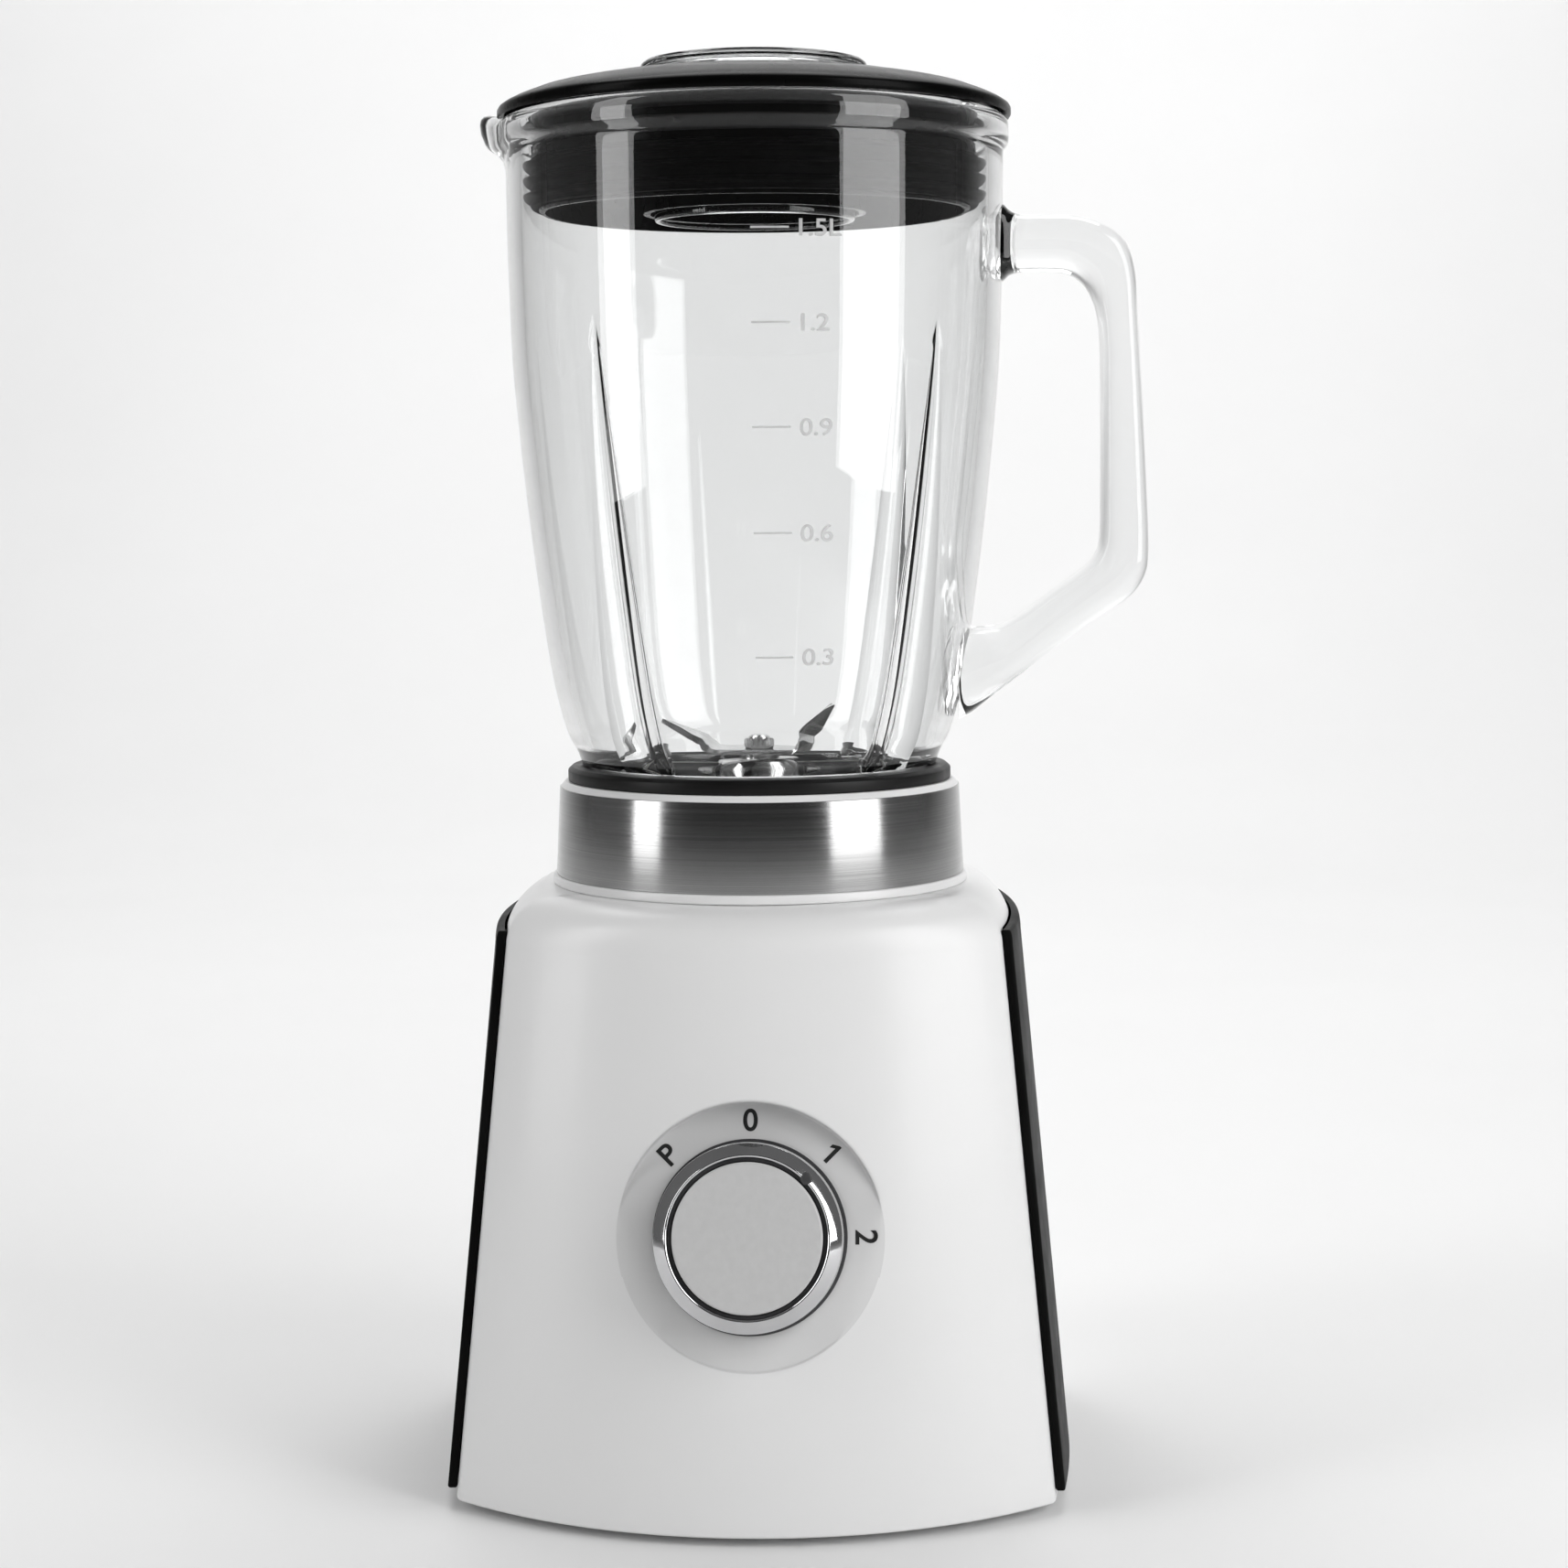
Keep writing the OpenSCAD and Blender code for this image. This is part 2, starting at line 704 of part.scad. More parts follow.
module armature_core() {
    slots = 12;
    slot_w = 2.4;
    slot_depth = 9;
    color("gray") translate([0, 0, stack_z]) difference() {
        tube(armature_r, shaft_r, stack_h);
        for (i = [0 : slots - 1]) rotate([0, 0, 360 * i / slots])
            translate([armature_r - slot_depth, -slot_w / 2, -1])
                cube([slot_depth + 3, slot_w, stack_h + 2]);
    }
}

module armature_windings() {
    color([0.72, 0.4, 0.16]) for (z = [stack_z - coil_h, stack_top_z])
        translate([0, 0, z]) tube(armature_r - 3, shaft_r, coil_h);
}

module commutator() {
    segments = 24;
    length = 14;
    groove_w = 0.4;
    groove_depth = 0.8;
    color([0.72, 0.4, 0.16]) translate([0, 0, brush_z - length / 2]) difference() {
        tube(commutator_r, shaft_r, length);
        for (i = [0 : segments - 1]) rotate([0, 0, 360 * i / segments])
            translate([commutator_r - groove_depth, -groove_w / 2, 2]) cube([2, groove_w, length - 1]);
    }
}

module cooling_fan() {
    blades = 12;
    fan_r = 31;
    hub_r = 9;
    hub_h = 12;
    disc_z = 10;
    disc_t = 1.6;
    fin_t = 1.4;
    root_r = hub_r - 0.5;
    color("ivory") translate([0, 0, fan_z]) {
        tube(hub_r, shaft_r, hub_h);
        translate([0, 0, disc_z]) tube(fan_r, root_r, disc_t);
        for (i = [0 : blades - 1]) rotate([0, 0, 360 * i / blades])
            translate([root_r, -fin_t / 2, 0]) cube([fan_r - root_r - 1, fin_t, disc_z + 0.5]);
    }
}

module dog_ring(z, h, turn) {
    for (i = [0 : dogs - 1]) rotate([0, 0, turn + 360 * i / dogs])
        translate([0, 0, z]) sector(dog_in_r, dog_out_r, h, dog_angle);
}

module drive_coupler() {
    boss_r = 8;
    boss_h = 5;
    bore_low_z = drive_disc_z - 2 * boss_h;
    color([0.08, 0.08, 0.08]) difference() {
        union() {
            translate([0, 0, drive_disc_z])
                cylinder(r = dog_out_r + 2, h = drive_disc_top_z - drive_disc_z);
            translate([0, 0, drive_disc_z - boss_h]) cylinder(r = boss_r, h = boss_h + 1);
            dog_ring(drive_disc_top_z - 1, drive_dog_top_z - drive_disc_top_z + 1, 0);
        }
        translate([0, 0, bore_low_z]) cylinder(r = shaft_r, h = drive_disc_top_z - 1 - bore_low_z);
    }
}

// ---------- blade unit ----------

module blade_base() {
    skirt_in_r = 45;
    notch_in_r = 40;
    notch_l = 12;
    notch_play = 0.6;
    notch_w = well_rib_w + 2 * notch_play;
    color([0.04, 0.04, 0.04]) difference() {
        rotate_extrude() polygon([
            [bush_r, unit_floor_z], [skirt_in_r, unit_floor_z], [skirt_in_r, unit_low_z],
            [unit_r, unit_low_z], [unit_r, unit_flange_z], [unit_flange_r, unit_flange_z],
            [unit_flange_r, unit_top_z - 1.4], [unit_flange_r - 0.5, unit_top_z - 0.4],
            [unit_flange_r - 1.5, unit_top_z], [unit_bore_r, unit_top_z],
            [unit_bore_r, unit_floor_top_z], [bush_r, unit_floor_top_z]]);
        for (a = [0 : 90 : 270]) rotate([0, 0, a]) translate([notch_in_r, -notch_w / 2, unit_low_z - 1])
            cube([notch_l, notch_w, well_rib_z - unit_low_z + 2]);
    }
}

module blade_bearing_housing() {
    flange_r = hub_low_r + 5;
    flange_top_z = unit_floor_top_z + 1.2;
    color("silver") rotate_extrude() polygon([
        [bush_r, unit_floor_top_z], [flange_r, unit_floor_top_z], [flange_r, flange_top_z],
        [hub_low_r, flange_top_z + 0.6], [hub_top_r, hub_top_z - 1], [hub_top_r - 1, hub_top_z],
        [bush_r, hub_top_z]]);
}

module blade_bush() {
    low_z = unit_floor_z + 0.2;
    color("goldenrod") translate([0, 0, low_z])
        tube(bush_r, spindle_r + RUNNING, hub_top_z - spindle_seal_h - low_z);
}

module spindle_seal() {
    color([0.1, 0.1, 0.1]) translate([0, 0, hub_top_z - spindle_seal_h])
        tube(bush_r, spindle_r + RUNNING, spindle_seal_h);
}

module jar_gasket() {
    gasket_in_r = 40.5;
    color("white") translate([0, 0, unit_floor_top_z]) tube(unit_bore_r - GAP, gasket_in_r, gasket_t);
}

module blade_spindle() {
    low_z = driven_disc_z - 1;
    stem_low_z = lower_blade_z - 0.5;
    color("silver") {
        translate([0, 0, low_z]) cylinder(r = spindle_r, h = lower_blade_z - low_z);
        translate([0, 0, stem_low_z]) cylinder(r = stem_r, h = spindle_top_z - stem_low_z);
    }
}

// A wing bent up from the end of a blade's flat middle, with a raked tip
wing_tip = 4;
wing_overlap = 0.7;
wing_inset = 0.05;
module wing(length, rise, width) {
    root = width / 2 - 0.4;
    knee = 0.55 * length;
    heel = 0.75 * length;
    rotate([0, -rise, 0]) translate([-wing_overlap, 0, wing_inset])
        linear_extrude(blade_t - 2 * wing_inset) polygon([
            [0, -root], [0, root], [knee, root], [length, root - wing_tip], [heel, wing_tip / 2 - root]]);
}

// A blade: a flat middle with a bore, and one wing on each side, bent by its own angle
module blade(z, half, width, left_length, left_rise, right_length, right_rise) {
    difference() {
        translate([0, 0, z]) union() {
            translate([-half, -width / 2, 0]) cube([2 * half, width, blade_t]);
            translate([half, 0, 0]) wing(right_length, right_rise, width);
            rotate([0, 0, 180]) translate([half, 0, 0]) wing(left_length, left_rise, width);
        }
        translate([0, 0, z - 1]) cylinder(r = stem_r, h = blade_t + 2);
    }
}

module upper_blade() {
    turn = -8;
    color("silver") rotate([0, 0, turn])
        blade(upper_blade_z, half = 10, width = 12, left_length = 18, left_rise = 29,
            right_length = 15.5, right_rise = 60);
}

module lower_blade() {
    turn = 62;
    color("silver") rotate([0, 0, turn])
        blade(lower_blade_z, half = 12, width = 11, left_length = 15, left_rise = -7,
            right_length = 15, right_rise = -7);
}

module blade_spacer() {
    spacer_r = 5.5;
    low_z = lower_blade_z + blade_t;
    color("silver") translate([0, 0, low_z]) tube(spacer_r, stem_r, upper_blade_z - low_z);
}

// A domed nut, closed over the end of the spindle
module blade_nut() {
    low_z = upper_blade_z + blade_t;
    color("silver") difference() {
        translate([0, 0, low_z]) {
            cylinder(r = nut_hex_r, h = nut_hex_h, $fn = 6);
            cylinder(r = nut_dome_r, h = nut_top_z - low_z);
        }
        translate([0, 0, low_z - 1]) cylinder(r = stem_r, h = spindle_top_z - low_z + 1);
    }
}

module driven_coupler() {
    color([0.08, 0.08, 0.08]) difference() {
        union() {
            translate([0, 0, driven_disc_z]) cylinder(r = dog_out_r, h = driven_disc_top_z - driven_disc_z);
            dog_ring(driven_dog_low_z, driven_disc_z - driven_dog_low_z + 1, 180 / dogs);
        }
        translate([0, 0, driven_disc_z - 1])
            cylinder(r = spindle_r, h = driven_disc_top_z - driven_disc_z + 2);
    }
}

// ---------- glass jar ----------

// Outer radius of the jar against height, as [radius, z]
jar_profile = [[48.4, 191.9], [49.7, 195.4], [52.1, 200], [54.9, 210], [56.8, 220], [59.6, 240], [62, 260],
    [64, 280], [65.6, 299], [66.2, 316], [66.6, 333], [66.7, 350]];
neck_r = 46;
neck_low_z = unit_floor_top_z + gasket_t;
neck_bore_r = 42;
bead_low_z = 357;

function jar_r(z) = lookup(z, [for (p = jar_profile) [p[1], p[0]]]);

module glass_body() {
    n = len(jar_profile);
    last_r = jar_profile[n - 1][0];
    rotate_extrude() polygon(concat(
        [[neck_bore_r, neck_low_z], [neck_r, neck_low_z], [neck_r, jar_profile[0][1]]],
        jar_profile,
        [[last_r, bead_low_z - 1], [rim_r, bead_low_z + 0.5], [rim_r, rim_z - 1.6],
            [rim_r - 0.6, rim_z - 0.4], [rim_r - 1.8, rim_z], [last_r - glass_t + 1, rim_z],
            [last_r - glass_t, rim_z - 1]],
        [for (i = [n - 1 : -1 : 1]) [jar_profile[i][0] - glass_t, jar_profile[i][1]]],
        [[neck_bore_r + 1, jar_profile[0][1]], [neck_bore_r, jar_profile[0][1] - 2]]));
}

// A stirring rib inside the wall: it starts as a point and grows towards the bottom
rib_top_z = 308.6;
rib_low_z = 194;
left_front_shift = 3;
rib_steps = 10;
rib_point_half = 0.4;
rib_foot_half = 8.8;
rib_point_nose = 0.3;
rib_foot_nose = 6.5;
module stirring_rib() {
    root_in = 1.5;
    rings = [for (i = [0 : rib_steps]) let (
            t = i / rib_steps,
            z = rib_top_z + (rib_low_z - rib_top_z) * t,
            wall_r = jar_r(z) - glass_t,
            root_r = wall_r + root_in,
            half = rib_point_half + (rib_foot_half - rib_point_half) * pow(t, 0.85),
            nose = rib_point_nose + (rib_foot_nose - rib_point_nose) * pow(t, 1.2),
            cheek_r = wall_r - 0.75 * nose,
            cheek = 0.55 * half)
        [[root_r, -half, z], [wall_r - 0.2, -half, z], [cheek_r, -cheek, z], [wall_r - nose, 0, z],
            [cheek_r, cheek, z], [wall_r - 0.2, half, z], [root_r, half, z]]];
    capped_skin(rings, len(rings[0]));
}

// The pouring lip, on -X, clear of the lid's flange
spout_reach = 74;
spout_top_z = 366.4;
spout_root_w = 26;
spout_lip_w = 10;
module spout() {
    lip_low_z = bead_low_z + 5;
    root_x = rim_r - 2.2;
    rotate([0, 0, 180]) difference() {
        hull() {
            translate([root_x, -spout_root_w / 2, bead_low_z])
                cube([1, spout_root_w, rim_z - bead_low_z]);
            translate([spout_reach - 2, -spout_lip_w / 2, lip_low_z])
                cube([2, spout_lip_w, spout_top_z - lip_low_z]);
        }
        translate([0, 0, bead_low_z - 1]) cylinder(r = rim_r - 3, h = THROUGH);
        translate([0, 0, rim_z]) cylinder(r = lid_r + 0.5, h = THROUGH);
    }
}

// The four ribs' places round the jar, with the left front one a little nearer the front
rib_angles = [for (i = [0 : 3]) rib_turn - 45 + 90 * i + (i == 3 ? left_front_shift : 0)];

module glass_jar() {
    color([0.85, 0.9, 0.9, 0.4]) union() {
        glass_body();
        spout();
        for (a = rib_angles) rotate([0, 0, a]) stirring_rib();
    }
}

// Outlines of the handle and of its finger gap seen from the front, as [x, z]
handle_out = [[50, 338.4], [80, 338.4], [86, 338], [93.5, 335.6], [98.5, 332], [101.3, 326.5],
    [102.6, 315.5], [104.2, 286], [105.6, 258.8], [105.8, 248.9], [105.1, 243.9], [101.6, 236.8],
    [92.7, 231.1], [80.2, 222.2], [67.7, 213.5], [58.2, 206.6], [50, 201]];
handle_in = [[50, 323.5], [80, 323.5], [85, 322.4], [88.6, 319.4], [91.4, 313.8], [93, 306], [93, 252],
    [91.6, 248], [89.2, 245], [72.7, 232.7], [65.2, 227.3], [50, 217]];
module jar_handle() {
    jar_seat = 0.06;
    color([0.85, 0.9, 0.9, 0.4]) difference() {
        translate([0, handle_depth / 2, 0]) rotate([90, 0, 0]) linear_extrude(handle_depth) difference() {
            polygon(handle_out);
            polygon(handle_in);
        }
        rotate_extrude() polygon(concat([[0, jar_profile[0][1]]],
            [for (p = jar_profile) [p[0] + jar_seat, p[1]]], [[0, 350]]));
    }
}

// ---------- lid and cap ----------

module lid() {
    lid_t = 2.2;
    skirt_r = plug_r - 1.6;
    tube_r = lid_hole_r + 1.8;
    color([0.04, 0.04, 0.04]) rotate_extrude() polygon([
        [lid_hole_r, lid_plug_z], [lid_hole_r, lid_top_z], [31, lid_top_z], [43.6, lid_top_z - 0.3],
        [51.3, lid_top_z - 1.6], [57.8, lid_top_z - 2.9], [61.8, lid_top_z - 4.2], [65.4, lid_top_z - 5.5],
        [lid_r - 0.4, rim_z + 3], [lid_r, rim_z + 2.4], [lid_r, rim_z + 0.4], [lid_r - 0.4, rim_z],
        [plug_r + 1.5, rim_z], [plug_r + 1.5, seal_top_z], [plug_r, seal_top_z], [plug_r, lid_plug_z],
        [skirt_r, lid_plug_z], [skirt_r, lid_top_z - 4 - lid_t], [50, lid_top_z - 1.6 - lid_t],
        [43, lid_top_z - 0.4 - lid_t], [tube_r, lid_top_z - lid_t], [tube_r, lid_plug_z]]);
}

// Soft sealing sleeve with three ribs, round the lid's plug
seal_low_z = 340.5;
seal_top_z = 353;
seal_r = 60.2;
seal_rib_r = 62.2;
module lid_seal() {
    rib_half = 1.1;
    edge_half = 0.4;
    seal_rib_heights = [342.8, 347, 351];
    color([0.1, 0.1, 0.1]) rotate_extrude() polygon(concat(
        [[plug_r, seal_top_z], [plug_r, seal_low_z], [seal_r, seal_low_z]],
        [for (z = seal_rib_heights) each [[seal_r, z - rib_half], [seal_rib_r, z - edge_half],
            [seal_rib_r, z + edge_half], [seal_r, z + rib_half]]],
        [[seal_r, seal_top_z]]));
}

module measuring_cap() {
    neck = cap_r - 0.7;
    color([0.9, 0.92, 0.92, 0.5]) rotate_extrude() polygon([
        [0, cap_top_z], [cap_r - 1.2, cap_top_z], [cap_r - 0.3, cap_top_z - 0.4], [cap_r, cap_top_z - 1.1],
        [cap_r, cap_top_z - 1.6], [neck, cap_top_z - 2], [neck, cap_top_z - 2.6],
        [cap_r, cap_top_z - 3], [cap_r - 0.2, lid_top_z], [cup_r, lid_top_z], [cup_r - 0.4, cap_low_z],
        [cup_r - 0.4 - cap_wall, cap_low_z], [cup_r - cap_wall, cap_top_z - 2.6], [0, cap_top_z - 2.6]]);
}

housing();
collar();
steel_band();
jar_well();
left_side_panel();
right_side_panel();
base_plate();
rubber_feet();
base_screws();
well_screws();
cord_inlet();
switch_body();
switch_nut();
suppression_capacitor();
motor_stator();
field_coils();
upper_motor_bracket();
lower_motor_bracket();
upper_bearing();
lower_bearing();
brush_holders();
carbon_brushes();
brush_springs();
motor_bolts();
motor_mounts();
motor_shaft();
armature_core();
armature_windings();
commutator();
cooling_fan();
drive_coupler();
knob_ring();
knob_cap();
knob_core();
switch_spindle();
blade_base();
blade_bearing_housing();
blade_bush();
spindle_seal();
jar_gasket();
blade_spindle();
upper_blade();
lower_blade();
blade_spacer();
blade_nut();
driven_coupler();
glass_jar();
jar_handle();
lid();
lid_seal();
measuring_cap();
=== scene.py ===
"""Looks of the countertop blender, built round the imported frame. Lengths in the helpers are millimetres."""

import math

import bmesh
import bpy
from mathutils import Matrix, Vector


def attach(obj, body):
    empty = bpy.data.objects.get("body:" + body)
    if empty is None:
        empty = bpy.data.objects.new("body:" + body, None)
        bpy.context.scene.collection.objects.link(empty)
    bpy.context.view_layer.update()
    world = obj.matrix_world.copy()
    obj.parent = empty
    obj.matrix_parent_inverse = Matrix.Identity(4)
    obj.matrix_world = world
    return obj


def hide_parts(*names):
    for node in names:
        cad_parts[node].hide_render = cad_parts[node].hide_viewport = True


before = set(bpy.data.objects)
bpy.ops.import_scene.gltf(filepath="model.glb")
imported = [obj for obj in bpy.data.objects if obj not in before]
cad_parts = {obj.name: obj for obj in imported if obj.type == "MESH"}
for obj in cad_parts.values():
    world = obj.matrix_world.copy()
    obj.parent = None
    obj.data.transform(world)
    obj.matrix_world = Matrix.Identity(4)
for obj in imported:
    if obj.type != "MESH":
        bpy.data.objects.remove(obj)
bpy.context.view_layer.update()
MM = 0.001
TAU = 2 * math.pi


# ---------- camera, floor and light ----------

CAMERA_LENS = 68.93
CAMERA_AT = Vector((6.7, -820.0, 264.0))
CAMERA_PITCH = math.radians(5.48)
CAMERA_ROLL = math.radians(-0.43)
CAMERA_YAW = math.radians(2.2)


def make_camera():
    forward = Vector((0, math.cos(CAMERA_PITCH), -math.sin(CAMERA_PITCH)))
    level_up = Vector((0, math.sin(CAMERA_PITCH), math.cos(CAMERA_PITCH)))
    side = Vector((1, 0, 0))
    right = side * math.cos(CAMERA_ROLL) + level_up * math.sin(CAMERA_ROLL)
    up = level_up * math.cos(CAMERA_ROLL) - side * math.sin(CAMERA_ROLL)
    turn = Matrix.Rotation(CAMERA_YAW, 3, "Z")
    axes = Matrix((turn @ right, turn @ up, turn @ -forward)).transposed()
    data = bpy.data.cameras.new("camera")
    data.lens = CAMERA_LENS
    data.sensor_width = 36
    data.clip_start = 0.05
    data.clip_end = 20
    camera = bpy.data.objects.new("camera", data)
    camera.matrix_world = Matrix.Translation(turn @ CAMERA_AT * MM) @ axes.to_4x4()
    bpy.context.scene.collection.objects.link(camera)
    bpy.context.scene.camera = camera


def softbox(name, azimuth, distance, low, high, width, radiance):
    """A tall soft light standing azimuth degrees round from the front, aimed at the part."""
    turn = math.radians(azimuth)
    data = bpy.data.lights.new(name, "AREA")
    data.shape = "RECTANGLE"
    data.size = width
    data.size_y = high - low
    data.energy = radiance * math.pi * width * (high - low)
    lamp = bpy.data.objects.new(name, data)
    lamp.location = (distance * math.sin(turn), -distance * math.cos(turn), (low + high) / 2)
    lamp.rotation_euler = (math.pi / 2, 0, turn)
    lamp.visible_camera = False
    bpy.context.scene.collection.objects.link(lamp)
    return lamp


def top_light(name, place, width, depth, radiance):
    data = bpy.data.lights.new(name, "AREA")
    data.shape = "RECTANGLE"
    data.size = width
    data.size_y = depth
    data.energy = radiance * math.pi * width * depth
    lamp = bpy.data.objects.new(name, data)
    lamp.location = place
    lamp.visible_camera = False
    bpy.context.scene.collection.objects.link(lamp)
    return lamp


WORLD_FRONT = 0.04
WORLD_SIDE = 0.15
WORLD_BACK = 0.9
FRONT_STEP = (-0.85, -0.3)
BACK_STEP = (0.45, 0.9)


def world_step(nodes, links, value, low, high, start, end):
    """A smooth step of the world's light, from start to end as value goes from low to high."""
    step = nodes.new("ShaderNodeMapRange")
    step.interpolation_type = "SMOOTHSTEP"
    step.inputs["From Min"].default_value = low
    step.inputs["From Max"].default_value = high
    step.inputs["To Min"].default_value = start
    step.inputs["To Max"].default_value = end
    links.new(value, step.inputs["Value"])
    return step.outputs["Result"]


def make_world():
    """A soft studio room: dim behind the photographer, brighter at the sides and behind the part."""
    world = bpy.data.worlds.new("studio")
    bpy.context.scene.world = world
    world.use_nodes = True
    nodes, links = world.node_tree.nodes, world.node_tree.links
    coords = nodes.new("ShaderNodeTexCoord")
    split = nodes.new("ShaderNodeSeparateXYZ")
    links.new(coords.outputs["Generated"], split.inputs["Vector"])
    depth = split.outputs["Y"]
    near = world_step(nodes, links, depth, *FRONT_STEP, WORLD_FRONT, WORLD_SIDE)
    far = world_step(nodes, links, depth, *BACK_STEP, 0.0, WORLD_BACK - WORLD_SIDE)
    both = nodes.new("ShaderNodeMath")
    links.new(near, both.inputs[0])
    links.new(far, both.inputs[1])
    backdrop = nodes["Background"]
    backdrop.inputs["Color"].default_value = (1.0, 1.0, 1.0, 1)
    links.new(both.outputs["Value"], backdrop.inputs["Strength"])


def make_stage():
    """A pale floor that sweeps up behind the part."""
    half, near, far, bend, tall = 6.0, -4.0, 2.4, 1.2, 3.5
    profile = [(near, 0.0), (far - bend, 0.0)]
    profile += [(far - bend + bend * math.sin(a), bend - bend * math.cos(a))
                for a in [math.pi / 2 * i / 24 for i in range(1, 25)]]
    profile.append((far, tall))
    points = [(x, y, z) for y, z in profile for x in (-half, half)]
    faces = [(2 * i, 2 * i + 1, 2 * i + 3, 2 * i + 2) for i in range(len(profile) - 1)]
    mesh = bpy.data.meshes.new("floor")
    mesh.from_pydata(points, [], faces)
    for face in mesh.polygons:
        face.use_smooth = True
    floor = bpy.data.objects.new("floor", mesh)
    bpy.context.scene.collection.objects.link(floor)
    paint = Shader("floor_paint", (0.86, 0.86, 0.86), 0.7)
    paint.tint(paint.noise(3, 3), (0.85, 0.85, 0.85), (0.87, 0.87, 0.87))
    mesh.materials.append(paint.material)


def make_lights():
    softbox("left_box", azimuth=-62.5, distance=1.0, low=0.1, high=1.3, width=0.3, radiance=4.0)
    softbox("right_box", azimuth=57, distance=1.0, low=0.1, high=1.3, width=0.55, radiance=4.1)
    top_light("top_box", place=(0.0, 0.45, 1.3), width=1.1, depth=0.6, radiance=4.0)
    backdrop = top_light("backdrop_box", place=(0.0, 1.0, 2.3), width=2.6, depth=0.8, radiance=7.0)
    backdrop.rotation_euler = (math.radians(66), 0, 0)
    fill = softbox("fill_box", azimuth=25, distance=1.8, low=0.7, high=1.9, width=1.2, radiance=1.7)
    fill.visible_glossy = False
    fill.visible_transmission = False


# ---------- shader helpers ----------


class Shader:
    """A procedural material: a Principled shader whose inputs can be set or fed by texture nodes."""

    def __init__(self, name, color, roughness, metallic=0.0):
        self.material = bpy.data.materials.new(name)
        self.material.use_nodes = True
        self.nodes = self.material.node_tree.nodes
        self.links = self.material.node_tree.links
        self.shader = self.nodes["Principled BSDF"]
        self.set("Base Color", (*color, 1))
        self.set("Roughness", roughness)
        self.set("Metallic", metallic)
        self.bumps = None
        coords = self.nodes.new("ShaderNodeTexCoord")
        self.coords = coords.outputs["Object"]

    def set(self, name, value):
        self.shader.inputs[name].default_value = value
        return self

    def stretched(self, scale):
        mapping = self.nodes.new("ShaderNodeMapping")
        mapping.inputs["Scale"].default_value = scale
        self.links.new(self.coords, mapping.inputs["Vector"])
        return mapping.outputs["Vector"]

    def noise(self, scale, detail=3.0, stretch=(1, 1, 1), roughness=0.55):
        node = self.nodes.new("ShaderNodeTexNoise")
        node.inputs["Scale"].default_value = scale
        node.inputs["Detail"].default_value = detail
        node.inputs["Roughness"].default_value = roughness
        self.links.new(self.stretched(stretch), node.inputs["Vector"])
        return node.outputs["Fac"]

    def spread(self, fac, low, high, fac_low=0.3, fac_high=0.7):
        node = self.nodes.new("ShaderNodeMapRange")
        node.inputs["From Min"].default_value = fac_low
        node.inputs["From Max"].default_value = fac_high
        node.inputs["To Min"].default_value = low
        node.inputs["To Max"].default_value = high
        self.links.new(fac, node.inputs["Value"])
        return node.outputs["Result"]

    def rough(self, fac, low, high):
        self.links.new(self.spread(fac, low, high), self.shader.inputs["Roughness"])
        return self

    def tint(self, fac, dark, light):
        ramp = self.nodes.new("ShaderNodeValToRGB")
        ramp.color_ramp.elements[0].position = 0.3
        ramp.color_ramp.elements[0].color = (*dark, 1)
        ramp.color_ramp.elements[1].position = 0.7
        ramp.color_ramp.elements[1].color = (*light, 1)
        self.links.new(fac, ramp.inputs["Fac"])
        self.links.new(ramp.outputs["Color"], self.shader.inputs["Base Color"])
        return self

    def bump(self, fac, depth_mm, strength=1.0):
        node = self.nodes.new("ShaderNodeBump")
        node.inputs["Strength"].default_value = strength
        node.inputs["Distance"].default_value = depth_mm * MM
        self.links.new(fac, node.inputs["Height"])
        if self.bumps:
            self.links.new(self.bumps, node.inputs["Normal"])
        self.bumps = node.outputs["Normal"]
        self.links.new(self.bumps, self.shader.inputs["Normal"])
        return self


def white_plastic(name="white_plastic", dark=0.81, light=0.83, low=0.28, high=0.34):
    s = Shader(name, (light, light, light), low)
    s.tint(s.noise(6, 2), (dark, dark, dark), (light, light, light))
    s.rough(s.noise(120, 5), low, high)
    s.bump(s.noise(900, 2), 0.006)
    s.bump(s.noise(14, 2), 0.02, 0.4)
    s.set("Coat Weight", 0.08).set("Coat Roughness", 0.1)
    return s.material


def black_satin(name="black_satin_plastic", low=0.32, high=0.45, grain=0.01, gloss=0.4, shade=0.008):
    s = Shader(name, (shade, shade, shade), 0.4)
    s.tint(s.noise(35, 4), (shade, shade, shade), (2 * shade, 2 * shade, 2 * shade))
    s.rough(s.noise(90, 4), low, high)
    s.bump(s.noise(1400, 3), grain)
    s.set("Specular IOR Level", gloss)
    return s.material


def rubber(name="black_rubber", dark=(0.012, 0.012, 0.012), light=(0.024, 0.024, 0.024), gloss=0.5):
    s = Shader(name, dark, 0.7)
    s.tint(s.noise(50, 5), dark, light)
    s.rough(s.noise(160, 4), 0.55, 0.78)
    s.bump(s.noise(1800, 3), 0.02)
    s.set("Specular IOR Level", gloss)
    return s.material


def brushed_band():
    s = Shader("brushed_band", (0.5, 0.5, 0.5), 0.3, 1.0)
    fine = s.noise(40, 4, (0.15, 0.15, 150), 0.6)
    s.tint(fine, (0.3, 0.3, 0.3), (0.42, 0.42, 0.42))
    s.rough(s.noise(40, 3, (0.2, 0.2, 90)), 0.17, 0.23)
    s.bump(fine, 0.003, 0.3)
    tangent = s.nodes.new("ShaderNodeTangent")
    tangent.direction_type = "RADIAL"
    tangent.axis = "Z"
    s.links.new(tangent.outputs["Tangent"], s.shader.inputs["Tangent"])
    s.set("Anisotropic", 0.7).set("Anisotropic Rotation", 0.25)
    return s.material


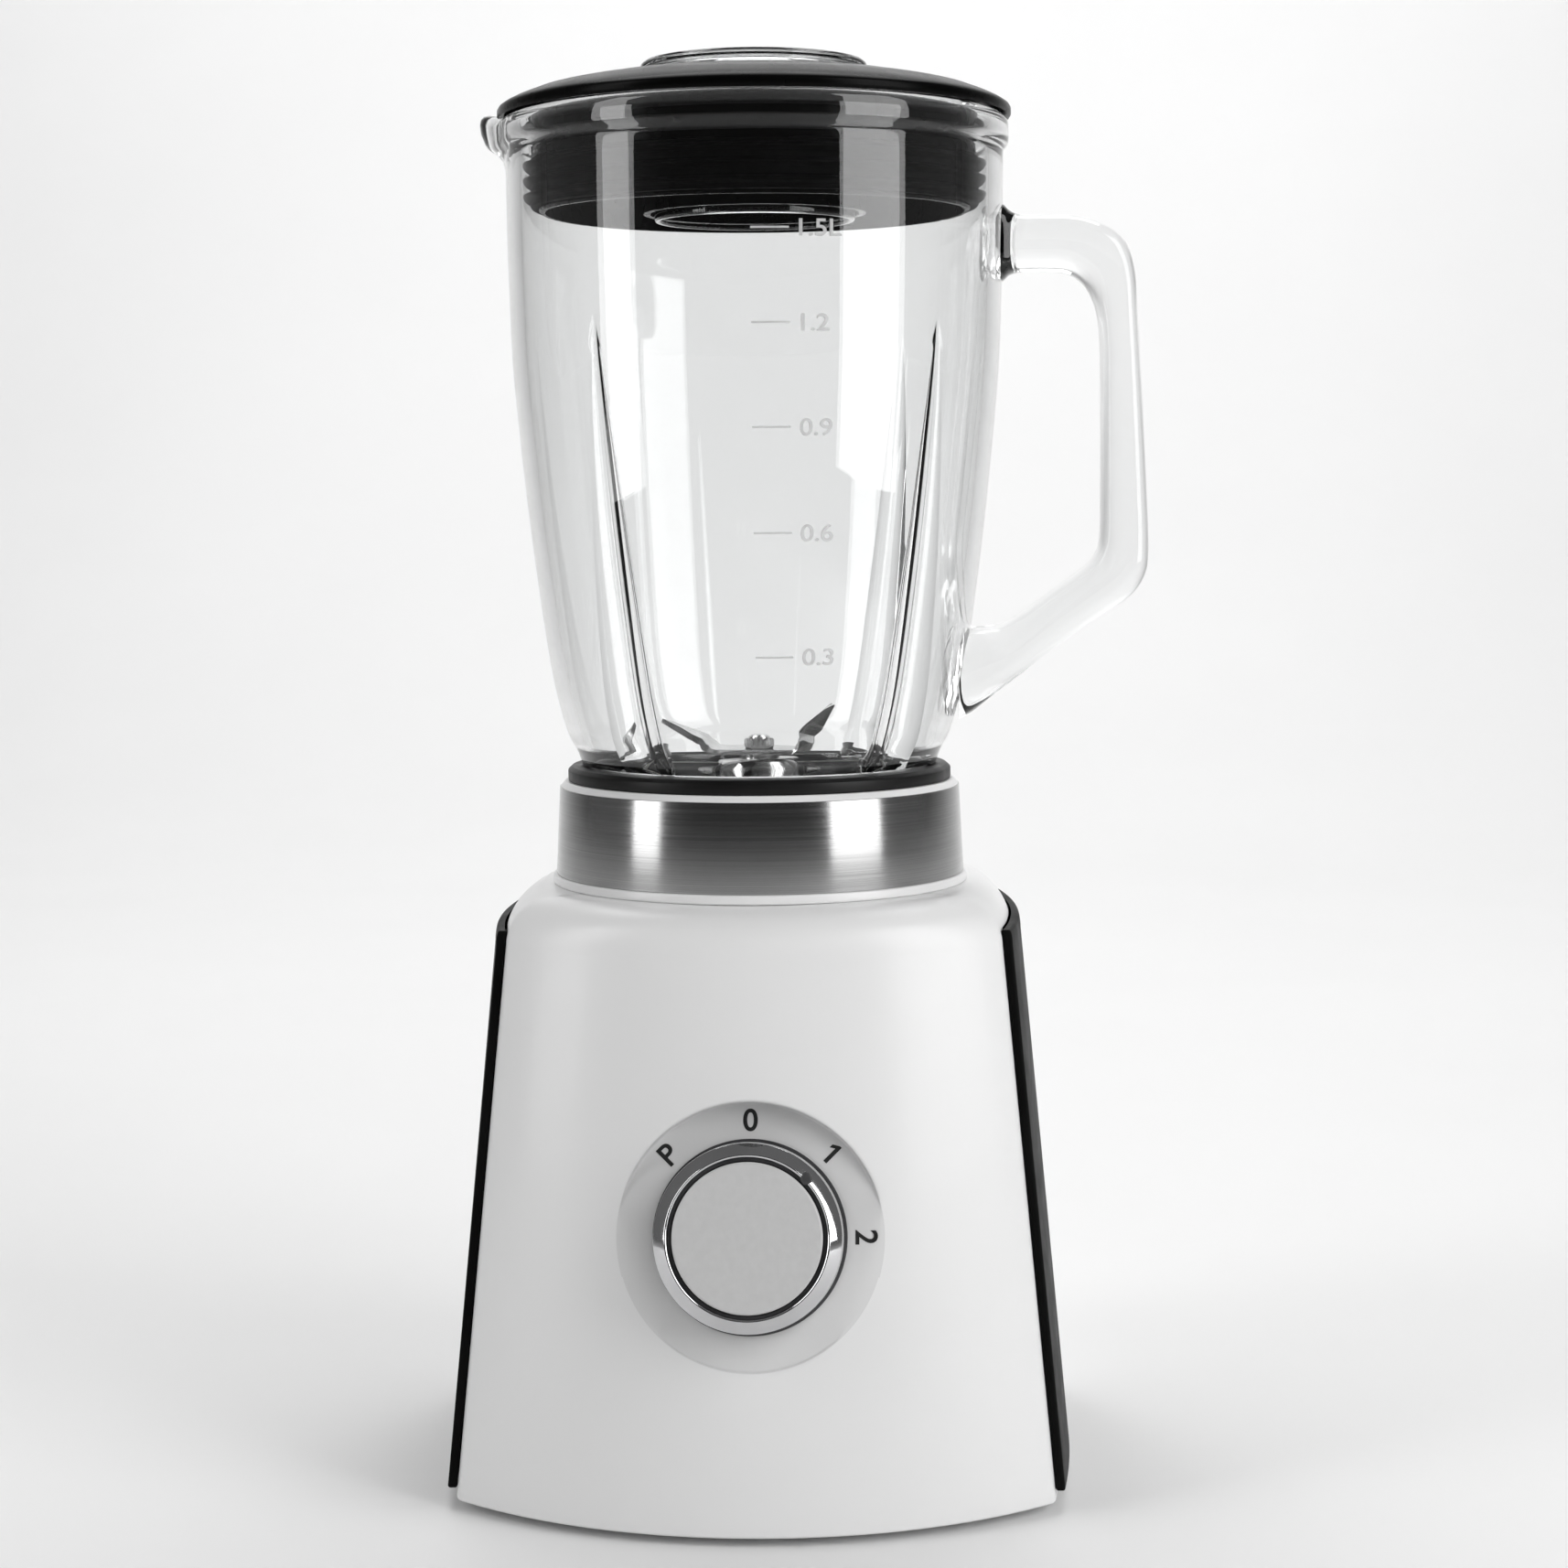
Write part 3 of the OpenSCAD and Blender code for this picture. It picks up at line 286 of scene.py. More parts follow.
def metal(name, dark, light, low, high, scale=60, grain=0.004, stretch=(1, 1, 1)):
    s = Shader(name, dark, low, 1.0)
    s.tint(s.noise(scale, 5, stretch), dark, light)
    s.rough(s.noise(scale * 2, 4, stretch), low, high)
    s.bump(s.noise(scale * 8, 3, stretch), grain)
    return s.material


def plain(name, dark, light, low, high, scale=60, grain=0.01):
    s = Shader(name, dark, low)
    s.tint(s.noise(scale, 4), dark, light)
    s.rough(s.noise(scale * 2, 4), low, high)
    s.bump(s.noise(scale * 14, 3), grain)
    return s.material


def jar_glass():
    s = Shader("jar_glass", (0.94, 0.945, 0.945), 0.0)
    s.set("Transmission Weight", 1.0).set("IOR", 1.5)
    s.rough(s.noise(25, 4), 0.0, 0.012)
    s.bump(s.noise(26, 2, (1, 1, 0.5)), 0.05, 0.35)
    return s.material


def scale_glass():
    s = Shader("scale_glass", (0.88, 0.88, 0.88), 0.3)
    s.set("Transmission Weight", 0.6).set("IOR", 1.5)
    s.rough(s.noise(60, 4), 0.25, 0.4)
    s.bump(s.noise(500, 2), 0.01)
    return s.material


def clear_plastic():
    s = Shader("clear_plastic", (0.97, 0.98, 0.98), 0.02)
    s.set("Transmission Weight", 1.0).set("IOR", 1.49)
    s.rough(s.noise(60, 5), 0.01, 0.05)
    s.bump(s.noise(300, 2), 0.004)
    return s.material


def laminations():
    s = Shader("laminations", (0.2, 0.2, 0.21), 0.45, 0.85)
    wave = s.nodes.new("ShaderNodeTexWave")
    wave.wave_type = "BANDS"
    wave.bands_direction = "Z"
    wave.inputs["Scale"].default_value = 320
    wave.inputs["Distortion"].default_value = 0.3
    s.links.new(s.coords, wave.inputs["Vector"])
    s.tint(wave.outputs["Fac"], (0.11, 0.11, 0.12), (0.26, 0.26, 0.27))
    s.rough(s.noise(120, 3), 0.35, 0.55)
    s.bump(wave.outputs["Fac"], 0.08)
    return s.material


def copper_wire():
    s = Shader("copper_wire", (0.62, 0.26, 0.1), 0.3, 1.0)
    wave = s.nodes.new("ShaderNodeTexWave")
    wave.wave_type = "RINGS"
    wave.rings_direction = "Z"
    wave.inputs["Scale"].default_value = 380
    wave.inputs["Distortion"].default_value = 1.2
    s.links.new(s.coords, wave.inputs["Vector"])
    s.tint(wave.outputs["Fac"], (0.38, 0.13, 0.045), (0.72, 0.32, 0.13))
    s.rough(s.noise(150, 3), 0.22, 0.4)
    s.bump(wave.outputs["Fac"], 0.15)
    return s.material


# ---------- mesh helpers ----------


def finish_piece(piece, body, material, replaced=()):
    piece.data.materials.clear()
    piece.data.materials.append(material)
    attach(piece, body)
    if replaced:
        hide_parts(*replaced)
    return piece


def shade(mesh, angle=32):
    for face in mesh.polygons:
        face.use_smooth = True
    mesh.set_sharp_from_angle(angle=math.radians(angle))


def new_piece(name, points, faces, angle=32):
    """An object from points in millimetres and faces, welded, with its normals outwards."""
    mesh = bpy.data.meshes.new(name)
    mesh.from_pydata([Vector(p) * MM for p in points], [], faces)
    work = bmesh.new()
    work.from_mesh(mesh)
    bmesh.ops.remove_doubles(work, verts=work.verts, dist=1e-6)
    bmesh.ops.recalc_face_normals(work, faces=work.faces)
    work.to_mesh(mesh)
    work.free()
    shade(mesh, angle)
    piece = bpy.data.objects.new(name, mesh)
    bpy.context.scene.collection.objects.link(piece)
    return piece


def place(piece, matrix):
    piece.data.transform(matrix)
    return piece


def rounded(points, radius, steps=4, sharp=()):
    """A closed outline with every corner rounded by radius, apart from those in sharp."""
    out = []
    count = len(points)
    for i, p in enumerate(points):
        here = Vector(p)
        before = Vector(points[i - 1]) - here
        after = Vector(points[(i + 1) % count]) - here
        turn = math.pi - before.angle(after, 0.0)
        if i in sharp or turn < 0.05:
            out.append(tuple(here))
            continue
        cut = min(radius * math.tan(turn / 2), before.length * 0.45, after.length * 0.45)
        start = here + before.normalized() * cut
        end = here + after.normalized() * cut
        for k in range(steps + 1):
            t = k / steps
            out.append(tuple(start * (1 - t) ** 2 + here * 2 * t * (1 - t) + end * t * t))
    return out


def lathe(name, outline, segments=192, angle=32):
    """Turns a closed outline of [radius, z] about the Z axis."""
    count = len(outline)
    points = [
        (r * math.cos(TAU * j / segments), r * math.sin(TAU * j / segments), z)
        for j in range(segments)
        for r, z in outline
    ]
    faces = []
    for j in range(segments):
        for i in range(count):
            a, b = j * count + i, j * count + (i + 1) % count
            c, d = ((j + 1) % segments) * count + (i + 1) % count, ((j + 1) % segments) * count + i
            faces.append((a, b, c, d))
    faces = [f for f in faces if not (outline[f[0] % count][0] == 0 and outline[f[1] % count][0] == 0)]
    return new_piece(name, points, faces, angle)


def skin(rings, close_rings=True, cap=False):
    """Faces through rings of equal length, each ring closed."""
    n = len(rings[0])
    points = [p for ring in rings for p in ring]
    last = len(rings) if close_rings else len(rings) - 1
    faces = []
    for i in range(last):
        for j in range(n):
            a, b = i * n + j, i * n + (j + 1) % n
            c, d = ((i + 1) % len(rings)) * n + (j + 1) % n, ((i + 1) % len(rings)) * n + j
            faces.append((a, b, c, d))
    if cap:
        faces.append(tuple(range(n)))
        faces.append(tuple((len(rings) - 1) * n + j for j in range(n)))
    return points, faces


def join_solids(target, *others):
    """Unites closed meshes into target and removes the others."""
    for other in others:
        cut = target.modifiers.new("unite", "BOOLEAN")
        cut.operation = "UNION"
        cut.solver = "EXACT"
        cut.object = other
    graph = bpy.context.evaluated_depsgraph_get()
    made = bpy.data.meshes.new_from_object(target.evaluated_get(graph))
    target.modifiers.clear()
    old = target.data
    target.data = made
    bpy.data.meshes.remove(old)
    for other in others:
        bpy.data.objects.remove(other)
    return target


# ---------- base ----------

BASE_LOW_Z = 2.5
BASE_TOP_Z = 159.5
SHOULDER_R = 12.5
SHOULDER_Z = BASE_TOP_Z - SHOULDER_R
SHOULDER_STEPS = 14
WALL = 2.6
SIDE_BULGE = 3.6
TOP_HOLE_R = 51.8
DIAL_Z = 77.6
DIAL_R = 34.0
DIAL_DEPTH = 4.6
DIAL_TILT = math.radians(12.8)


def half_width(z):
    return 78.4 - 0.093 * (z - BASE_LOW_Z)


def corner_depth(z):
    return 57.5 - 0.105 * (z - BASE_LOW_Z)


def front_depth(z):
    return 86.0 - 0.133 * (z - BASE_LOW_Z)


def arc_radius(half_chord, rise):
    return (half_chord**2 + rise**2) / (2 * rise)


def arc_points(half_chord, rise, steps):
    """Points of an arc from -half_chord to half_chord that rises by rise, as (along, out)."""
    r = arc_radius(half_chord, rise)
    half_angle = math.asin(half_chord / r)
    turns = [half_angle * (2 * i / steps - 1) for i in range(steps + 1)]
    return [(r * math.sin(a), r * math.cos(a) - (r - rise)) for a in turns]


FRONT_STEPS = 110
SIDE_STEPS = 28
CORNER_STEPS = 5
CORNER_CUT = 1.6


def base_outline(z, inset=0.0):
    """Outline of the base at height z, set in all round, with softened corners."""
    w, d = half_width(z), front_depth(z)
    r = arc_radius(w, d - corner_depth(z))
    c = math.sqrt((r - inset) ** 2 - (w - inset) ** 2) - (r - d)
    w, d = w - inset, d - inset
    front = [(x, -y - c) for x, y in arc_points(w, d - c, FRONT_STEPS)]
    side = [(w + y, x) for x, y in arc_points(c, SIDE_BULGE, SIDE_STEPS)]
    sides = [front, side, [(-x, -y) for x, y in front], [(-x, -y) for x, y in side]]
    out = []
    for i, arc in enumerate(sides):
        after = sides[(i + 1) % 4]
        out += arc[1:-1]
        corner = Vector(arc[-1])
        start = corner + (Vector(arc[-2]) - corner).normalized() * CORNER_CUT
        end = corner + (Vector(after[1]) - corner).normalized() * CORNER_CUT
        for k in range(CORNER_STEPS + 1):
            t = k / CORNER_STEPS
            p = start * (1 - t) ** 2 + corner * 2 * t * (1 - t) + end * t * t
            out.append((p.x, p.y))
    return out


def shoulder(steps, set_back=0.0):
    """(height, inset) pairs up the rounded shoulder."""
    turns = [math.pi / 2 * i / steps for i in range(1, steps + 1)]
    r = SHOULDER_R - set_back
    return [(SHOULDER_Z + r * math.sin(a), set_back + r * (1 - math.cos(a))) for a in turns]


def smoothstep(t):
    t = max(0.0, min(1.0, t))
    return t * t * (3 - 2 * t)


def dial_matrix():
    """From the dial's frame, whose origin is on the recess floor and +Z points out, to the part's frame."""
    outward = Vector((0, -math.cos(DIAL_TILT), math.sin(DIAL_TILT)))
    up = Vector((0, math.sin(DIAL_TILT), math.cos(DIAL_TILT)))
    origin = Vector((0, -front_depth(DIAL_Z), DIAL_Z)) - outward * DIAL_DEPTH
    turn = Matrix((Vector((1, 0, 0)), up, outward)).transposed().to_4x4()
    return Matrix.Translation(origin) @ turn


DIAL = dial_matrix()
DIAL_INVERSE = DIAL.inverted()


def scaled(matrix):
    """The same placing for a mesh that is already in metres."""
    out = matrix.copy()
    out.translation = out.translation * MM
    return out


def front_height(a, b):
    """Height of the front face above the dial's floor plane, at dial place (a, b)."""
    c = 0.0
    for _ in range(8):
        p = DIAL @ Vector((a, b, c))
        w, d = half_width(p.z), front_depth(p.z)
        r = arc_radius(w, d - corner_depth(p.z))
        ahead = -p.y - (d - r + math.sqrt(r * r - p.x * p.x))
        c -= ahead
    return c


def dial_patch(rim):
    """Rings of points from the window rim inwards, over the recess edge, and down to the dial's middle."""
    places = [DIAL_INVERSE @ Vector(p) for p in rim]
    turns = [math.atan2(p.y, p.x) for p in places]
    out_rings = 12
    fillet_steps = 4
    rings = []

    def ring(radius_height):
        made = []
        for place_, turn in zip(places, turns):
            r, c = radius_height(place_, turn)
            a, b = r * math.cos(turn), r * math.sin(turn)
            made.append(tuple(DIAL @ Vector((a, b, front_height(a, b) if c is None else c))))
        rings.append(made)

    def edge_r(turn):
        return 0.8 + 2.2 * smoothstep((-math.sin(turn) - 0.1) / 0.7)

    def wall_edge(turn):
        a, b = DIAL_R * math.cos(turn), DIAL_R * math.sin(turn)
        top = front_height(a, b)
        low = min(top, 0.0)
        return max(min(edge_r(turn), (top - low) / 2), 0.0)

    for k in range(1, out_rings):
        t = (k / out_rings) ** 0.75
        ring(lambda p, turn, t=t: (p.xy.length * (1 - t) + (DIAL_R + edge_r(turn) + 0.6) * t, None))
    ring(lambda p, turn: (DIAL_R + edge_r(turn) + 0.6, None))
    ring(lambda p, turn: (DIAL_R + edge_r(turn), None))
    for k in range(1, fillet_steps + 1):
        s = math.pi / 2 * k / fillet_steps

        def top_fillet(_, turn, s=s):
            e = wall_edge(turn)
            r = DIAL_R + edge_r(turn) * (1 - math.sin(s))
            a, b = r * math.cos(turn), r * math.sin(turn)
            return r, front_height(a, b) - e * (1 - math.cos(s))

        ring(top_fillet)
    for k in range(fillet_steps + 1):
        s = math.pi / 2 * k / fillet_steps

        def low_fillet(_, turn, s=s):
            e = wall_edge(turn)
            r = DIAL_R - 0.8 * (1 - math.cos(s)) - 0.02
            a, b = r * math.cos(turn), r * math.sin(turn)
            return r, min(front_height(a, b), 0.0) + e * (1 - math.sin(s))

        ring(low_fillet)
    for k in range(1, 13):
        r = (DIAL_R - 0.8) * (1 - k / 13)
        ring(lambda p, turn, r=r: (r, min(front_height(r * math.cos(turn), r * math.sin(turn)), 0.0)))
    return rings


WINDOW_HALF_HEIGHT = 46
WINDOW_HALF_COLUMNS = 34
INNER_HEIGHTS = [130, 120, 112, 104, 96, 88, 80, 72, 64, 56, 48, 40, 30, 16, BASE_LOW_Z]


def make_housing():
    heights = [BASE_LOW_Z + 0.9]
    while heights[-1] < SHOULDER_Z - 3:
        heights.append(heights[-1] + 2.6)
    heights.append(SHOULDER_Z)
    foot = [(BASE_LOW_Z, 0.9), (BASE_LOW_Z + 0.12, 0.42), (BASE_LOW_Z + 0.42, 0.12)]
    outer = [[(x, y, z) for x, y in base_outline(z, t)] for z, t in foot]
    outer += [[(x, y, z) for x, y in base_outline(z)] for z in heights]
    outer += [[(x, y, z) for x, y in base_outline(SHOULDER_Z, t)] for z, t in shoulder(SHOULDER_STEPS)]
    n = len(outer[0])
    edge = outer[-1]
    for share in (0.5, 1.0):
        ring = []
        for x, y, z in edge:
            reach = math.hypot(x, y)
            r = reach * (1 - share) + TOP_HOLE_R * share
            ring.append((x * r / reach, y * r / reach, z))
        outer.append(ring)
    inner_shoulder = list(reversed(shoulder(6, WALL)))[:4]
    inner = []
    top_ring = outer[-1]
    inner.append([(x, y, BASE_TOP_Z - WALL) for x, y, _ in top_ring])
    for z, t in inner_shoulder:
        inner.append([(x, y, z) for x, y in base_outline(SHOULDER_Z, t)])
    for z in INNER_HEIGHTS:
        ring = []
        for x, y in base_outline(z, WALL):
            p = DIAL_INVERSE @ Vector((x, y, z))
            if p.xy.length < DIAL_R + 5 and y < 0:
                p.z = min(p.z, -WALL)
                x, y, zz = DIAL @ p
                ring.append((x, y, zz))
            else:
                ring.append((x, y, z))
        inner.append(ring)
    points, faces = skin(outer + inner)

    # The window round the dial, which the polar patch fills
    low_row = next(i for i, ring in enumerate(outer) if ring[0][2] > DIAL_Z - WINDOW_HALF_HEIGHT)
    high_row = next(i for i, ring in enumerate(outer) if ring[0][2] > DIAL_Z + WINDOW_HALF_HEIGHT)
    middle = FRONT_STEPS // 2 - 1
    left, right = middle - WINDOW_HALF_COLUMNS, middle + WINDOW_HALF_COLUMNS

    def index(i, j):
        return i * n + j

    window = {
        (index(i, j), index(i, j + 1))
        for i in range(low_row, high_row)
        for j in range(left, right)
    }
    faces = [f for f in faces if (f[0], f[1]) not in window]
    rim = [index(low_row, j) for j in range(left, right)]
    rim += [index(i, right) for i in range(low_row, high_row)]
    rim += [index(high_row, j) for j in range(right, left, -1)]
    rim += [index(i, left) for i in range(high_row, low_row, -1)]
    rings = dial_patch([points[i] for i in rim])
    m = len(rim)
    previous = rim
    for ring in rings:
        start = len(points)
        points += ring
        ids = [start + j for j in range(m)]
        faces += [(previous[j], previous[(j + 1) % m], ids[(j + 1) % m], ids[j]) for j in range(m)]
        previous = ids
    points.append(tuple(DIAL @ Vector((0, 0, 0))))
    centre = len(points) - 1
    faces += [(previous[j], previous[(j + 1) % m], centre) for j in range(m)]
    piece = new_piece("housing_shell", points, faces, 38)
    finish_piece(piece, "base", WHITE, ["housing"])
    # The recess floor faces get a darker white: painted shade for the dial recess, on the same plastic as the
    # rest of the housing.
    piece.data.materials.append(DIAL_SHADED_WHITE)
    into_dial = scaled(DIAL).inverted()
    for face in piece.data.polygons:
        at = into_dial @ face.center
        if at.xy.length < (DIAL_R + 0.2) * MM and abs(at.z) < 5 * MM and face.center.y < 0:
            face.material_index = 1


PANEL_T = 2.7
PANEL_LOW_Z = 5.5
PANEL_SEAT = 0.14
PANEL_TOP_ANGLE = math.radians(18)


def make_side_panel(name, node, turn):
    """A black panel with rounded edges over the bulged side."""
    steps = 40
    round_r = 0.9
    levels = [(PANEL_LOW_Z, 0.0)]
    while levels[-1][0] < SHOULDER_Z - 6:
        levels.append((levels[-1][0] + 5.9, 0.0))
    levels.append((SHOULDER_Z, 0.0))
    levels += [(SHOULDER_Z + SHOULDER_R * math.sin(a), SHOULDER_R * (1 - math.cos(a)))
               for a in [PANEL_TOP_ANGLE * i / 5 for i in range(1, 6)]]
    rings = []
    for z, inset in levels:
        base_z = min(z, SHOULDER_Z)
        w, c = half_width(base_z) - inset, corner_depth(base_z) - 0.6
        arc = arc_points(c, SIDE_BULGE, steps)
        inner = [(w + y + PANEL_SEAT, x) for x, y in arc]
        outer = [(w + y + PANEL_T, x) for x, y in arc]
        ring = rounded(inner + outer[::-1], round_r, 4)
        rings.append([(x, y, z) for x, y in ring])
    points, faces = skin(rings, close_rings=False, cap=True)
    piece = new_piece(name, points, faces, 30)
    place(piece, Matrix.Rotation(turn, 4, "Z"))
    bevel = piece.modifiers.new("soft_ends", "BEVEL")
    bevel.width = 0.8 * MM
    bevel.segments = 3
    bevel.limit_method = "ANGLE"
    bevel.angle_limit = math.radians(50)
    finish_piece(piece, "base", PANEL_BLACK, [node])


BAND_Z = 162.0
BAND_TOP_Z = 185.7
COLLAR_TOP_Z = 187.3
BAND_R_LOW = 55.8
BAND_R_HIGH = 54.6


def make_collar():
    outline = [
        (50.4, BASE_TOP_Z), (BAND_R_LOW + 1.0, BASE_TOP_Z), (BAND_R_LOW + 0.7, BAND_Z),
        (BAND_R_LOW - 0.6, BAND_Z), (BAND_R_HIGH - 0.6, BAND_TOP_Z), (BAND_R_HIGH - 0.2, BAND_TOP_Z),
        (BAND_R_HIGH - 1.6, COLLAR_TOP_Z), (50.4, COLLAR_TOP_Z),
    ]
    collar = lathe("collar_ring", rounded(outline, 0.6))
    finish_piece(collar, "base", WHITE, ["collar"])
    band = [
        (BAND_R_LOW - 0.6, BAND_Z), (BAND_R_LOW, BAND_Z), (BAND_R_HIGH, BAND_TOP_Z),
        (BAND_R_HIGH - 0.6, BAND_TOP_Z),
    ]
    sleeve = lathe("steel_sleeve", rounded(band, 0.2, 3), 256)
    finish_piece(sleeve, "base", BRUSHED, ["steel_band"])


# ---------- dial and knob ----------

# The pointer rests at 1, an eighth of a turn clockwise from the top
KNOB_TURN = math.radians(-45)
KNOB_H = 16.9


def text_mesh(name, words, size, thickness, bold=0.0, widen=1.0):
    """Words as a closed mesh in millimetres, centred on their middle, in the XY plane."""
    curve = bpy.data.curves.new(name, "FONT")
    curve.body = words
    curve.size = size
    curve.align_x = "CENTER"
    curve.align_y = "CENTER"
    curve.extrude = thickness / 2
    curve.offset = bold
    holder = bpy.data.objects.new(name, curve)
    bpy.context.scene.collection.objects.link(holder)
    graph = bpy.context.evaluated_depsgraph_get()
    made = bpy.data.meshes.new_from_object(holder.evaluated_get(graph))
    bpy.data.objects.remove(holder)
    middle = [(min(v.co[k] for v in made.vertices) + max(v.co[k] for v in made.vertices)) / 2 for k in (0, 1)]
    for v in made.vertices:
        v.co = Vector(((v.co.x - middle[0]) * widen, v.co.y - middle[1], v.co.z))
    return made


NUMERAL_ONE = [(0.0, 2.8), (0.55, 2.8), (0.55, -2.8), (-0.5, -2.8), (-0.5, 1.5), (-1.75, 0.7), (-1.75, 1.75)]


def plate_mesh(name, outline, thickness):
    """A flat plate of this outline, in the XY plane."""
    mesh = bpy.data.meshes.new(name)
    rings = [[(x, y, z) for x, y in outline] for z in (-thickness / 2, thickness / 2)]
    points, faces = skin(rings, close_rings=False, cap=True)
    mesh.from_pydata(points, [], faces)
    return mesh


def make_dial_labels():
    label_r = 29.6
    for words, clock in (("P", -45), ("0", 0), ("1", 45), ("2", 90)):
        if words == "1":
            made = plate_mesh("dial_label_1", NUMERAL_ONE, 0.08)
        else:
            made = text_mesh("dial_label_" + words, words, 7.9, 0.08, 0.13)
        made.transform(Matrix.Translation((0, label_r, 0.03)))
        made.transform(Matrix.Rotation(math.radians(-clock), 4, "Z"))
        made.transform(DIAL)
        made.transform(Matrix.Scale(MM, 4))
        piece = bpy.data.objects.new("dial_label_" + words, made)
        bpy.context.scene.collection.objects.link(piece)
        finish_piece(piece, "base", BLACK_INK)


def make_knob():
    ring_in, ring_out, disc_r = 20.1, 23.7, 18.9
    ring = [
        (ring_in, 2.0), (ring_out + 0.5, 2.0), (ring_out + 0.5, 2.6), (ring_out, KNOB_H - 2.6),
        (ring_in + 0.5, KNOB_H - 0.1), (ring_in, KNOB_H - 0.4),
    ]
    piece = lathe("knob_chrome_ring", rounded(ring, 0.35, 4), 160)
    place(piece, scaled(DIAL))
    finish_piece(piece, "knob", CHROME, ["knob_ring"])

    # The dark skirt reaching out past the chrome ring is a painted shadow: a dark sheet standing for the
    # shadow gap round the knob. The rest of this body is the knob's dark plastic core.
    painted_shadow_skirt_r = 24.8
    core = [
        (0, 2.6), (9, 2.6), (9, 0.5), (painted_shadow_skirt_r, 0.5), (painted_shadow_skirt_r, 1.9), (ring_in, 1.9), (ring_in, KNOB_H - 1.6),
        (disc_r + 0.25, KNOB_H - 1.6), (disc_r + 0.25, KNOB_H - 2.4), (0, KNOB_H - 2.4),
    ]
    body = lathe("knob_body", rounded(core, 0.3, 3, sharp=(0, 9)), 128)
    place(body, scaled(DIAL))
    finish_piece(body, "knob", KNOB_DARK, ["knob_core"])

    disc = [(0, KNOB_H - 2.3), (disc_r, KNOB_H - 2.3), (disc_r, KNOB_H - 0.5), (disc_r - 0.5, KNOB_H - 0.25),
            (0, KNOB_H - 0.1)]
    face = lathe("knob_face", rounded(disc, 0.35, 4, sharp=(0, 4)), 160)
    place(face, scaled(DIAL))
    finish_piece(face, "knob", KNOB_SATIN, ["knob_cap"])

    bump = [(0, -1.2), (1.5, -1.2), (1.6, 0.3), (1.45, 0.75), (0.9, 0.92), (0, 0.95)]
    pointer = lathe("knob_pointer", rounded(bump, 0.4, 3, sharp=(0, 5)), 40)
    out = Matrix.Translation((0, 20.9, KNOB_H - 0.95))
    place(pointer, scaled(DIAL @ Matrix.Rotation(KNOB_TURN, 4, "Z") @ out))
    finish_piece(pointer, "knob", KNOB_DARK)


# ---------- blade unit ----------


def make_blade_unit():
    base = [
        (7, 176), (45, 176), (45, 156), (48.2, 156), (48.2, COLLAR_TOP_Z + 0.02), (52.3, COLLAR_TOP_Z + 0.02),
        (52.3, 190.2), (51.2, 191.2), (50.0, 191.5), (46.6, 191.5), (46.6, 179.5), (7, 179.5),
    ]
    piece = lathe("blade_base_ring", rounded(base, 0.5, 3), 192)
    finish_piece(piece, "blade_unit", BLACK_SATIN, ["blade_base"])
    hub = [(7, 179.5), (18, 179.5), (18, 180.7), (13.4, 181.3), (9.6, 189.6), (8, 191), (7, 191)]
    piece = lathe("blade_hub", rounded(hub, 0.8, 4), 96)
    finish_piece(piece, "blade_unit", BLADE_STEEL, ["blade_bearing_housing"])
    gasket = [(40.5, 179.5), (46.3, 179.5), (46.3, 181.5), (40.5, 181.5)]
    piece = lathe("jar_gasket_ring", rounded(gasket, 0.5, 3), 160)
    finish_piece(piece, "jar_gasket_ring", SILICONE, ["jar_gasket"])


BLADE_T = 1.2


def blade_wing(length, rise, twist, width, flip):
    """Sections of one wing from its root to its tip: place, height, two edges, bend and twist of each."""
    sections = []
    steps = 12
    for k in range(steps + 1):
        t = k / steps
        bend = rise * min(1.0, t * 4)
        reach = length * t
        x = reach * math.cos(rise) if t > 0.25 else reach * math.cos(bend * 0.7)
        z = reach * math.sin(rise) if t > 0.25 else reach * math.sin(bend * 0.7)
        lead = width / 2 * (1 - 0.1 * t)
        trail = -width / 2 * (1 - t) ** 0.8 + (lead - 0.6) * (1 - (1 - t) ** 0.8)
        sections.append((x, z, lead, trail, bend, twist * min(1.0, t * 2)))
    return [(flip * x, z, flip * a, flip * b, flip * bend, flip * turn)
            for x, z, a, b, bend, turn in sections]


def make_blade(name, node, z, half, width, left, right, azimuth):
    """A bent two-armed blade with ground edges. left and right are (length, rise, twist), in radians."""
    sections = [(x - half, *rest) for x, *rest in reversed(blade_wing(*left, width, -1))]
    sections += [(x + half, *rest) for x, *rest in blade_wing(*right, width, 1)]
    rings = []
    for x, dz, a, b, turn, twist in sections:
        low_y, high_y = min(a, b), max(a, b)
        grind = min(1.4, (high_y - low_y) * 0.3)
        flat_up = Vector((-math.sin(turn), 0, math.cos(turn)))
        flat_across = Vector((0, 1, 0))
        across = flat_across * math.cos(twist) + flat_up * math.sin(twist)
        up = flat_up * math.cos(twist) - flat_across * math.sin(twist)
        at = Vector((x, 0, z + dz))
        profile = [(low_y, 0.05), (low_y + grind, 0.0), (high_y - grind, 0.0), (high_y, 0.05),
                   (high_y, 0.16), (high_y - grind, BLADE_T), (low_y + grind, BLADE_T), (low_y, 0.16)]
        rings.append([tuple(at + across * y + up * h) for y, h in profile])
    points, faces = skin(rings, close_rings=False, cap=True)
    piece = new_piece(name, points, faces, 25)
    place(piece, Matrix.Rotation(azimuth, 4, "Z"))
    finish_piece(piece, "blades", BLADE_STEEL, [node])


